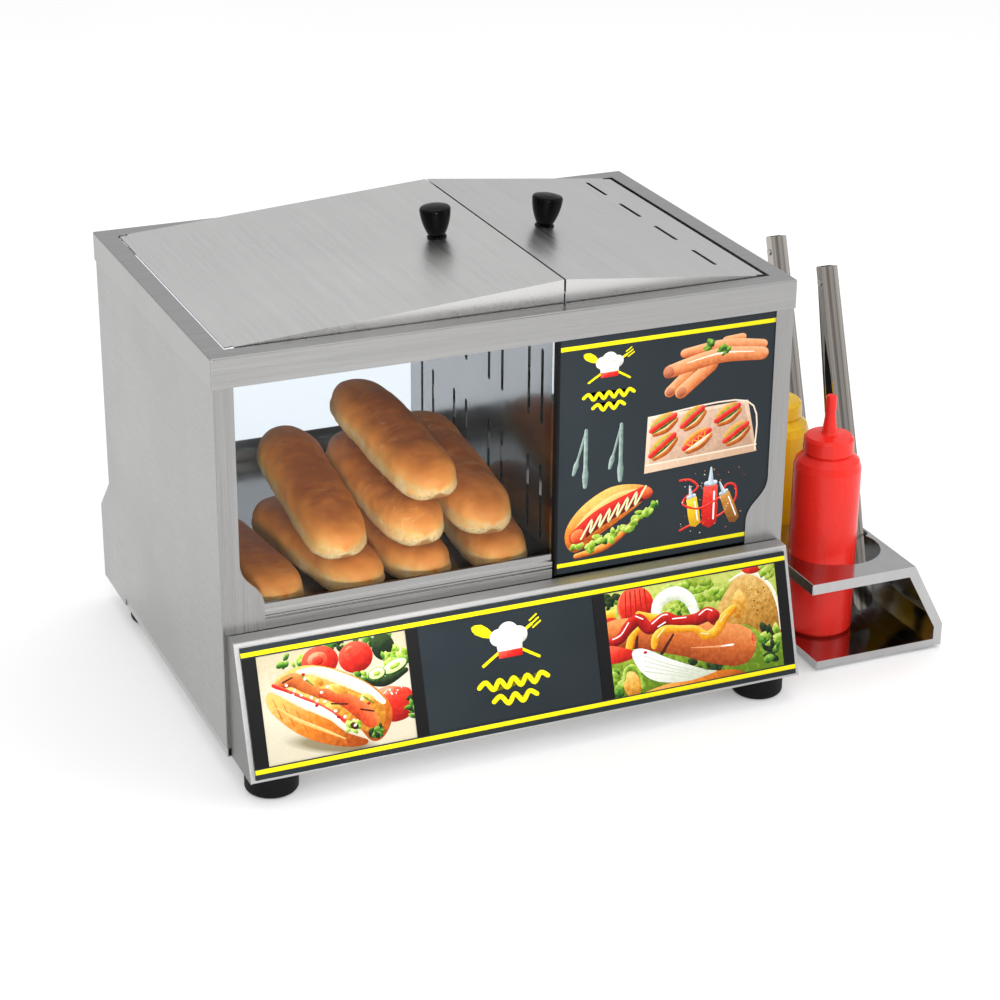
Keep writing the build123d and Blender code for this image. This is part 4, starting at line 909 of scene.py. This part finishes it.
def picture_of_roll(art):
    """Filled long roll on a pale table, with tomatoes, cucumber and herbs behind it."""
    art.block(0, 0, 143, 100, "paper")
    art.foliage(33, 90, 12, 7, 14, 8, "leaf", "lettuce")
    art.foliage(92, 97, 36, 7, 26, 10, "shade_green", "leaf")
    art.oval(120, 89, 11, 13, "shade_green", 15)
    art.foliage(130, 76, 13, 11, 16, 11, "leaf", "lettuce")
    art.oval(59, 86, 17.5, 14, "tomato")
    art.oval(57, 88, 9.5, 7, "flesh")
    art.oval(57, 87, 5.5, 4, "tomato")
    art.oval(93, 84, 16.5, 14.5, "tomato")
    art.oval(87, 92, 4.5, 2.4, "flesh", 30)
    art.stroke([(98, 61), (118, 57), (139, 64)], [5, 9, 5], "shade_green")
    for x, y, rx, ry, tilt in ((129, 69, 14, 6.5, 18), (111, 65, 9, 6, 8)):
        art.oval(x, y, rx, ry, "leaf", tilt)
        art.oval(x, y + 0.6, rx * 0.86, ry * 0.8, "cucumber", tilt)
        art.oval(x, y + 0.6, rx * 0.4, ry * 0.35, "lettuce", tilt)
    art.foliage(93, 65, 10, 4, 12, 7, "leaf", "lettuce")
    art.blob([(108, 47), (118, 52), (130, 50), (141, 46), (143, 33), (137, 21), (120, 19), (112, 30)],
             "tomato")
    art.oval(124, 47, 13, 4.2, "flesh", -8)
    art.dots(114, 44, 134, 50, 10, 0.9, "cucumber", "shine")
    art.foliage(140, 31, 5, 11, 12, 8, "leaf", "shade_green")
    art.oval(62, 9, 50, 10, "cast_shade", -14)
    art.blob([(24, 79), (44, 85), (72, 77), (97, 62), (113, 48), (121, 33), (119, 18), (109, 6), (98, 6),
              (86, 22), (62, 42), (36, 62)], "crust")
    art.stroke([(38, 80), (56, 77), (78, 66), (100, 52), (114, 39)], [4, 9, 11, 10, 5], "crumb")
    art.blob([(14, 72), (22, 80), (38, 78), (66, 62), (94, 49), (114, 35), (112, 18), (100, 13), (75, 26),
              (47, 48), (26, 60)], "filling")
    art.stroke([(18, 71), (31, 74), (44, 66), (55, 57)], [9, 13, 13, 9], "sausage")
    art.stroke([(58, 57), (77, 48), (91, 36), (100, 25)], [9, 13, 16, 15], "red_sausage")
    for x, y, rx, ry, tilt in ((52, 69, 9, 4, -30), (73, 58, 10, 4, -28), (100, 44, 8, 4.5, -35),
                               (66, 42, 8, 4, -35)):
        art.oval(x, y, rx, ry, "filling", tilt)
    for points in ([(22, 73), (31, 76)], [(65, 46), (80, 43)], [(92, 36), (104, 32)]):
        art.stroke(points, 1.6, "slit")
    art.stroke([(96, 47), (104, 40)], 1.4, "leaf")
    art.stroke([(40, 76), (50, 66)], 1.4, "leaf")
    art.stroke([(13, 72), (28, 62), (47, 50), (62, 39), (79, 26)], [3, 5, 5, 5, 3], "bright_red")
    art.blob([(5, 62), (10, 66), (22, 58), (38, 46), (58, 35), (74, 19), (86, 12), (95, 7), (92, 3),
              (76, 4), (52, 12), (30, 25), (13, 42), (6, 53)], "crust")
    for points in ([(11, 60), (17, 41)], [(20, 54), (28, 32)], [(31, 46), (40, 24)], [(42, 38), (52, 17)],
                   [(54, 31), (62, 12)], [(64, 22), (74, 8)]):
        art.stroke(points, [0.5, 1.5], "streak")
    art.stroke([(14, 51), (32, 37), (54, 24), (74, 12)], [1, 3.4, 3, 1], "glow")
    art.stroke([(11, 69), (23, 61), (38, 51), (53, 42), (67, 31), (75, 21)], [2.5, 6, 7.5, 8, 6, 2.5],
               "crumb")
    for x, y in ((25, 70), (32, 64), (38, 59), (47, 55), (52, 51), (59, 49), (57, 58), (68, 39), (76, 32),
                 (94, 45), (43, 73), (84, 27), (30, 60), (63, 62)):
        art.leaf(x, y, 3.4, 3.0, x * 1.7, "onion")
    for x, y in ((51, 47), (100, 40), (42, 77), (70, 33)):
        art.oval(x, y, 1.8, 1.4, "ketchup")
    art.foliage(83, 20, 7, 6, 12, 8, "lettuce")
    art.oval(84, 22, 4.4, 3, "slit", -30)
    art.leaf(85, 22.5, 4, 2.6, 0.4, "onion")
    art.foliage(104, 13, 6, 7, 16, 7, "leaf", "shade_green")


def picture_of_sausage(art):
    """Grilled sausage with two sauces, close up, among salad and bread."""
    art.block(0, 0, 181.5, 100, "blurred_green")
    art.foliage(95, 86, 32, 16, 34, 15, "lettuce", "blurred_green")
    art.foliage(6, 93, 9, 8, 10, 9, "shade_green", "leaf")
    art.oval(31, 84, 19, 18, "tomato")
    for k in range(5):
        art.stroke([(22 + 5 * k, 98), (20 + 5.5 * k, 74)], 1.3, "ketchup")
    art.stroke([(18, 96), (14, 86), (15, 74)], 2.2, "flesh")
    art.block(-2, 74, 10, 84, "mustard")
    art.oval(3, 66, 12, 11, "ketchup")
    art.stroke([(50, 64), (55, 82), (71, 89), (86, 82), (94, 62)], [9, 12, 13, 12, 9], "onion")
    art.foliage(68, 71, 12, 5, 16, 7, "leaf", "lettuce")
    art.blob([(112, 58), (124, 78), (140, 93), (156, 96), (173, 83), (182, 62), (183, 38), (176, 25),
              (162, 34), (146, 46), (128, 50)], "tan_bun")
    art.stroke([(132, 91), (152, 96), (171, 84), (181, 62), (182, 36)], [2, 4, 4, 4, 3], "crumb")
    art.oval(139, 67, 7.5, 14, "filling", -8)
    art.dots(146, 52, 172, 84, 40, 0.7, "streak", "slit")
    art.oval(157, 100, 11, 6, "tomato")
    art.foliage(174, 95, 8, 8, 10, 9, "lettuce", "blurred_green")
    art.foliage(168, 24, 12, 18, 22, 13, "leaf", "lettuce", "shade_green")
    art.foliage(96, 14, 44, 7, 26, 9, "shade_green", "leaf")
    art.blob([(26, -2), (48, 3), (82, 6), (114, 7), (136, 2), (132, -6), (40, -8)], "crust")
    art.stroke([(6, 61), (37, 56), (79, 44), (107, 35), (133, 28)], [27, 31, 34, 39, 41], "sausage")
    for way in range(7):
        angle = math.radians(-70 + way * 24)
        x, y = 149, 31
        art.stroke([(x, y), (x + 5 * math.cos(angle), y + 6 * math.sin(angle))], [0.6, 1.3],
                   "red_sausage")
    art.stroke([(84, 34), (112, 30), (129, 29)], [0.6, 2.4, 3.2], "frank")
    art.stroke([(116, 30), (128, 29.4)], [0.8, 2.2], "shine")
    for points in ([(31, 61), (27, 44)], [(67, 50), (53, 34)]):
        art.stroke(points, [2.0, 3.6], "slit")
    art.stroke([(33, 75), (48, 70), (62, 67)], 6.5, "mustard")
    art.stroke([(20, 46), (24, 55), (31, 61)], 7.5, "mustard")
    art.stroke([(-1, 53), (11, 55), (22, 65), (33, 70), (43, 60), (60, 66), (73, 61), (92, 60), (106, 63),
                (113, 57)], [9, 10, 12, 12, 12, 13, 12, 12, 14, 13], "ketchup")
    art.stroke([(46, 43), (49, 51), (59, 56), (74, 54), (91, 51), (101, 43), (113, 46), (122, 57),
                (132, 64)], [7, 8, 8, 7, 7, 9, 10, 10, 8], "mustard")
    art.oval(111, 60, 7, 6, "ketchup", 20)
    for points in ([(4, 56), (13, 59), (22, 69)], [(30, 74), (37, 70)], [(46, 64), (57, 70), (63, 70)],
                   [(68, 65), (82, 64)], [(96, 64), (104, 68), (110, 66)], [(52, 60), (60, 63)]):
        art.stroke(points, 1.2, "shine")
    for points in ([(50, 50), (58, 57)], [(96, 46), (104, 44)], [(118, 54), (124, 60)]):
        art.stroke(points, 1.1, "cucumber")
    art.blob([(-3, 50), (12, 47), (26, 40), (20, 34), (-3, 34)], "tomato")
    art.foliage(5, 16, 9, 14, 12, 11, "lettuce", "leaf")
    art.oval(19, 10, 9, 13, "filling", 10)
    art.stroke([(11, 16), (14, 25), (22, 27), (29, 18), (30, 6)], 4, "lettuce")
    art.blob([(22, 39), (34, 42), (62, 27), (96, 11), (108, 7), (76, 3), (46, 8), (30, 20)], "onion")
    for k in range(4):
        art.stroke([(34, 35 - 5 * k), (58, 23 - 3.4 * k), (92 - 4 * k, 9 - k)], 0.8, "onion_line")
    art.oval(36, 38, 2, 1.4, "ketchup")


def chef_badge(art, x, y, size):
    """Generic ornament: a cook's hat over a crossed fork and spatula, and two wavy lines."""
    def at(*spots):
        return [(x + a * size, y + b * size) for a, b in spots]

    art.stroke(at((-26, -14), (22, 15)), 2.6 * size, "stripe")
    for lean in (-3.2, 0, 3.2):
        art.stroke(at((22 + lean * 0.4, 15 - lean), (29 + lean * 0.5, 19.5 - lean)), 1.5 * size,
                   "stripe")
    art.stroke(at((26, -14), (-19, 13)), 2.6 * size, "stripe")
    art.blob(at((-18, 9), (-30, 14), (-33, 21), (-24, 22), (-15, 14)), "stripe", 2)
    for a, b, r in ((-9, 8, 8.5), (9, 8, 8.5), (0, 12, 9.5)):
        art.oval(x + a * size, y + b * size, r * size, r * 0.9 * size, "hat")
    art.blob(at((-12.5, 8), (12.5, 8), (11, -8), (-11, -8)), "hat", 1)
    art.blob(at((-11.4, -4), (11.4, -4), (11, -10), (-11, -10)), "bright_red", 1)
    for a in (-5, 0, 5):
        art.stroke(at((a, 0), (a * 1.2, 7)), 0.7 * size, "onion_line")
    art.wave(x - 32 * size, x + 32 * size, y - 32 * size, 3.6 * size, 5, 4.2 * size, "stripe")
    art.wave(x - 20 * size, x + 20 * size, y - 46 * size, 3.6 * size, 3, 4.2 * size, "stripe")


def small_roll(art, foot, head, topping):
    """Little filled roll lying aslant."""
    (x0, y0), (x1, y1) = foot, head
    length = math.hypot(x1 - x0, y1 - y0)
    nx, ny = -(y1 - y0) / length, (x1 - x0) / length

    def line(shift, inset=0.0):
        (ax, ay), (bx, by) = ((x + nx * shift + way * (x1 - x0) * inset,
                               y + ny * shift + way * (y1 - y0) * inset)
                              for x, y, way in ((x0, y0, 1), (x1, y1, -1)))
        middle_point = ((ax + bx) / 2 + nx * shift * 0.25, (ay + by) / 2 + ny * shift * 0.25)
        return [(ax, ay), middle_point, (bx, by)]

    art.stroke(line(4.2, 0.1), [5, 8, 5], "crust")
    art.stroke(line(-3.6, 0.08), [8, 12, 8], "crust")
    art.stroke(line(-1.8, 0.06), [4, 8, 4], "crumb")
    if topping:
        art.stroke(line(2.6, 0.02), [3, 5, 3], "leaf")
        art.stroke(line(-1.6, 0.0), [3, 4.5, 3], "leaf")
    art.stroke(line(0.8, -0.02), 5.6, "bright_red")
    if not topping:
        zigzag = [(x0 + (x1 - x0) * t / 8 + nx * (2.5 if t % 2 else -1.5),
                   y0 + (y1 - y0) * t / 8 + ny * (2.5 if t % 2 else -1.5)) for t in range(1, 8)]
        art.stroke(zigzag, 1.1, "mustard", 3)


def small_bottle(art, foot, head, width, body):
    """Squeeze bottle with a pale cap and nozzle, between its foot and the top of its cap."""
    (x0, y0), (x1, y1) = foot, head
    length = math.hypot(x1 - x0, y1 - y0)
    ux, uy = (x1 - x0) / length, (y1 - y0) / length

    def at(*spots):
        return [(x0 + ux * along * length - uy * side * width, y0 + uy * along * length + ux * side * width)
                for side, along in spots]

    art.blob(at((-0.5, 0.0), (0.5, 0.0), (0.5, 0.7), (0.44, 0.86), (-0.44, 0.86), (-0.5, 0.7)), body, 2)
    art.stroke(at((-0.28, 0.1), (-0.28, 0.7)), width * 0.12, "shine")
    art.stroke(at((-0.3, 0.9), (0.3, 0.9)), width * 0.34, "nozzle")
    art.stroke(at((0, 0.92), (0, 1.24)), [width * 0.4, width * 0.12], "nozzle")


def menu_pictures(art):
    """Pictures of the menu board, from its lower left corner."""
    art.stroke([(170, 211), (187, 212)], 8, "frank")
    art.stroke([(127, 204), (169, 207), (209, 202)], [9, 11, 10], "frank")
    for points, width in (([(113, 168), (134, 186)], 11), ([(125, 166), (156, 189)], 13)):
        art.stroke(points, width, "frank")
        art.oval(*points[0], width * 0.42, width * 0.36, "frank_end", 40)
    art.stroke([(112, 188), (142, 194), (170, 197), (209, 193)], [13, 15, 15, 13], "frank")
    art.oval(111, 187.5, 5.5, 6, "frank_end")
    art.stroke([(130, 194), (165, 199), (200, 196)], [1, 2, 1], "crumb")
    art.foliage(154, 208, 5, 4, 8, 8, "leaf")
    art.foliage(168, 202, 5, 4, 7, 8, "leaf")

    art.blob([(91, 146), (196, 148), (208, 94), (89, 89)], "tray", 1)
    art.blob([(95, 142.5), (192.5, 144.5), (203, 102), (93.5, 98)], "tray_floor", 1)
    art.stroke([(92, 145), (195, 147), (206, 96)], 1.6, "tray_rim")
    art.stroke([(90, 97), (207, 101)], 1.4, "tray_rim")
    rolls = (((96, 131), (119, 143), True), ((128, 131), (148, 146), True), ((164, 131), (186, 143), True),
             ((96, 106), (119, 123), True), ((131, 108), (156, 122), False), ((174, 109), (196, 123), True))
    for foot, head, topping in rolls:
        small_roll(art, foot, head, topping)

    for x, y, tip_a, tip_b in ((28, 142, (16, 100), (28, 86)), (64, 143, (53, 101), (64, 87))):
        for tip, widths in ((tip_a, [2.2, 2.6, 2.6, 5.2, 3.4]), (tip_b, [3.6, 4.2, 4.2, 6.4, 4.4])):
            line = [(x + (tip[0] - x) * t, y + (tip[1] - y) * t) for t in (0, 0.3, 0.66, 0.8, 1)]
            art.stroke(line, widths, "tong_steel")

    art.blob([(9, 31), (11, 49), (28, 68), (55, 81), (84, 79), (96, 70), (78, 54), (44, 34), (20, 20)],
             "crust")
    art.stroke([(16, 38), (34, 56), (60, 70), (86, 73)], [4, 7, 7, 4], "glow")
    art.stroke([(20, 16), (52, 22), (84, 44)], [5, 8, 5], "crust")
    for along in range(26):
        t = along / 25
        art.foliage(17 + 84 * t, 24 + 34 * t * t + 3 * math.sin(along), 4, 4, 2, 9, "lettuce",
                    "leaf" if along % 5 == 0 else "lettuce")
    art.stroke([(20, 36), (47, 53), (90, 70)], [15, 18, 14], "ketchup")
    art.oval(22, 36, 8, 7.5, "red_sausage")
    art.oval(92, 69, 6.5, 6, "red_sausage")
    zigzag = [(28 + 4.6 * k + (3.4 if k % 2 else -3.0), 41 + 2.1 * k + (8 if k % 2 else -8))
              for k in range(14)]
    art.stroke(zigzag, 2.0, "cucumber", 4)

    ribbon = [(127, 76), (138, 75), (146, 66), (133, 57), (132, 50), (146, 44), (158, 46), (170, 52),
              (177, 64), (186, 62), (188, 50), (181, 40), (170, 33), (158, 30), (141, 28), (129, 24)]
    art.stroke(ribbon, 2.2, "bright_red")
    small_bottle(art, (145, 28), (139, 61), 11, "bottle_yellow")
    small_bottle(art, (187, 26), (173, 60), 11, "bottle_brown")
    small_bottle(art, (160, 26), (160, 73), 15, "bright_red")
    art.stroke(ribbon[3:8], 2.2, "bright_red")
    art.dots(126, 18, 196, 82, 60, 0.55, "onion", "bright_red", "frank")
    chef_badge(art, 50, 200, 0.8)


# Layout of the two plates, in millimetres from a plate's lower left corner.
STRIPE = 4.2                    # height of a yellow stripe
SIGN_STRIPE_BASE = 4.9
SIGN_STRIPE_DROP = 8.4          # from the upper edge to the foot of the upper stripe
BOARD_STRIPES = (6.4, 222.2)
BOARD_EDGE = 0.9                # width of the black line at the board's left edge
PICTURE_BASE = 10.2
PICTURE_TOP = 110.5
LEFT_PICTURE = 13.5
CENTRE_FIELD = 168.0
RIGHT_PICTURE = 356.0
BAR = 12.0                      # width of the black bars beside the pictures
LAST_BAR = 11.5


def print_signs():
    """Artwork of the sloping sign and of the menu board."""
    inks = make_inks()
    sign = Print("sign_print", "sign_panel", 3, inks)
    width, height = sign.size
    sign.shift = (LEFT_PICTURE, PICTURE_BASE)
    picture_of_roll(sign)
    sign.shift = (RIGHT_PICTURE, PICTURE_BASE)
    picture_of_sausage(sign)
    sign.shift = (0, 0)
    bars = ((0.0, LEFT_PICTURE), (CENTRE_FIELD - BAR, CENTRE_FIELD), (RIGHT_PICTURE - BAR, RIGHT_PICTURE),
            (width - LAST_BAR, width))
    for x0, x1 in bars:
        sign.block(x0, PICTURE_BASE - 1, x1, PICTURE_TOP + 1, "black")
    sign.block(0, 0, width, PICTURE_BASE, "slate")
    sign.block(0, PICTURE_TOP, width, height, "slate")
    for y in (SIGN_STRIPE_BASE, height - SIGN_STRIPE_DROP):
        sign.block(0, y, width, y + STRIPE, "stripe")
    chef_badge(sign, (CENTRE_FIELD + RIGHT_PICTURE - BAR) / 2, 79, 1.08)
    sign.finish()

    board = Print("menu_print", "menu_board", 11, inks)
    width, height = board.size
    for y in BOARD_STRIPES:
        board.block(0, y, width, y + STRIPE, "stripe")
    board.block(0, 0, BOARD_EDGE, height, "black")
    menu_pictures(board)
    board.finish()


# ---------------------------------------------------------------- thermostat dial
DIAL_START = -135       # degrees from straight up
TICKS = 10
TICK_STEP = 30          # degrees
NUMBER_EVERY = 3        # ticks
TICK_RADIUS = 24 * MM
TICK_SIZE = (0.8 * MM, 0.12 * MM, 3.2 * MM, 1)
NUMBER_RADIUS = 31 * MM
NUMBER_SIZE = 6 * MM
PRINT_LIFT = 0.05 * MM  # middle of the marks, off the housing


def build_dial_marks():
    """Printed scale round the thermostat knob: ten ticks and a number beside every third."""
    low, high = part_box("thermostat_knob")
    centre = (low + high) / 2
    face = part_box("control_housing")[1].y
    mesh = bmesh.new()
    for k in range(TICKS):
        turn = Matrix.Rotation(math.radians(DIAL_START + TICK_STEP * k), 4, "Y")
        tick = bmesh.ops.create_cube(mesh, size=1.0)["verts"]
        place = Matrix.Translation((centre.x, face + PRINT_LIFT, centre.z)) @ turn
        place = place @ Matrix.Translation((0, 0, TICK_RADIUS)) @ Matrix.Diagonal(TICK_SIZE)
        bmesh.ops.transform(mesh, matrix=place, verts=tick)
    look = moulded_plastic("dial_ink", rgb(24, 24, 25), 0.45)
    ticks = mesh_object("dial_ticks", mesh, smooth=False)
    ticks.data.materials.append(look)
    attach(ticks, "cabinet")
    for k in range(TICKS // NUMBER_EVERY + 1):
        angle = math.radians(DIAL_START + TICK_STEP * NUMBER_EVERY * k)
        text = bpy.data.curves.new(f"dial_number_{k}", "FONT")
        text.body = str(k * 30)
        text.size = NUMBER_SIZE
        text.extrude = 0.06 * MM
        text.align_x = text.align_y = "CENTER"
        number = bpy.data.objects.new(f"dial_number_{k}", text)
        number.location = (centre.x + NUMBER_RADIUS * math.sin(angle), face + PRINT_LIFT,
                           centre.z + NUMBER_RADIUS * math.cos(angle))
        number.rotation_euler = (math.pi / 2, 0, math.pi)
        link(number)
        text.materials.append(look)
        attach(number, "cabinet")


dress_frame()
build_loaves()
print_signs()
build_dial_marks()


# ---------------------------------------------------------------- stage
OBJECT_MIDDLE = Vector((0, 0, 0.2))


def hang(data, place, aim):
    """Put a lamp at place, facing aim."""
    lamp = link(bpy.data.objects.new(data.name, data))
    lamp.location = place
    lamp.rotation_euler = (aim - Vector(place)).to_track_quat("-Z", "Y").to_euler()


def light(name, size, place, power):
    """Square area light at place, facing the object's middle."""
    data = bpy.data.lights.new(name, "AREA")
    data.size = size
    data.energy = power
    hang(data, place, OBJECT_MIDDLE)


def window_light():
    """Soft lamp beside the camera, aimed through the bun window only."""
    data = bpy.data.lights.new("window", "SPOT")
    data.energy = 320
    data.spot_size = math.radians(10)
    data.spot_blend = 0.5
    data.shadow_soft_size = 0.22
    hang(data, (-0.75, -2.4, 0.62), Vector((-0.2, -0.1, 0.25)))


def build_world():
    """Pale surroundings, brighter overhead; the camera itself sees white."""
    world = bpy.data.worlds.new("studio")
    bpy.context.scene.world = world
    world.use_nodes = True
    tree = world.node_tree
    ground = tree.nodes["Background"]
    place, split, ramp, height = (tree.nodes.new("ShaderNode" + kind)
                                  for kind in ("TexCoord", "SeparateXYZ", "ValToRGB", "MapRange"))
    camera_sees, path, mixer = (tree.nodes.new("ShaderNode" + kind)
                                for kind in ("Background", "LightPath", "MixShader"))
    for source, target in ((place.outputs["Generated"], split.inputs[0]),
                           (split.outputs[2], height.inputs[0]),
                           (height.outputs[0], ramp.inputs[0]),
                           (ramp.outputs[0], ground.inputs[0]),
                           (path.outputs["Is Camera Ray"], mixer.inputs[0]),
                           (ground.outputs[0], mixer.inputs[1]),
                           (camera_sees.outputs[0], mixer.inputs[2]),
                           (mixer.outputs[0], tree.nodes["World Output"].inputs[0])):
        tree.links.new(source, target)
    height.inputs[1].default_value = -1.0
    elements = ramp.color_ramp.elements
    elements[0].position, elements[0].color = 0.45, (0.50, 0.50, 0.51, 1)
    elements[1].position, elements[1].color = 0.95, (1.0, 1.0, 1.0, 1)
    elements.new(0.62).color = (0.78, 0.78, 0.79, 1)
    ground.inputs[1].default_value = 0.85
    camera_sees.inputs[0].default_value = (1, 1, 1, 1)


def build_floor():
    """Pale floor that keeps a soft shadow under the object."""
    bpy.ops.mesh.primitive_plane_add(size=30, location=(0, 0, -0.2 * MM))
    floor = bpy.context.object
    floor.name = "floor"
    look = Look("floor_paper", roughness=0.9, specular_ior_level=0.1)
    fibre = look.noise(900, detail=3)
    look.set("Base Color", look.ramp(fibre, (0.3, grey(0.86)), (0.7, grey(0.9))))
    look.set("Emission Color", grey(1.0))
    look.set("Emission Strength", 0.22)
    floor.data.materials.append(look.material)


CAMERA_PLACE = (-0.9628, -2.1872, 1.1830)
CAMERA_AZIMUTH = math.radians(-23.397)
CAMERA_ELEVATION = math.radians(23.690)
CAMERA_ROLL = math.radians(0.522)


def build_camera():
    """Camera at the front left, above the lids."""
    a, e, roll = CAMERA_AZIMUTH, CAMERA_ELEVATION, CAMERA_ROLL
    right = Vector((math.cos(a), math.sin(a), 0))
    back = Vector((math.sin(a) * math.cos(e), -math.cos(a) * math.cos(e), math.sin(e)))
    up = back.cross(right)
    x = right * math.cos(roll) + up * math.sin(roll)
    y = up * math.cos(roll) - right * math.sin(roll)
    data = bpy.data.cameras.new("camera")
    data.lens = 92.6
    data.sensor_width = 36.0
    camera = bpy.data.objects.new("camera", data)
    camera.matrix_world = Matrix.Translation(CAMERA_PLACE) @ Matrix((x, y, back)).transposed().to_4x4()
    link(camera)
    bpy.context.scene.camera = camera


build_world()
build_floor()
build_camera()
light("key", 2.0, (-1.0, -2.2, 2.0), 17)
light("fill", 2.2, (2.2, -1.3, 1.3), 13)
light("top", 2.6, (0.1, 0.4, 2.6), 14)
window_light()
bpy.context.scene.view_settings.view_transform = "Standard"
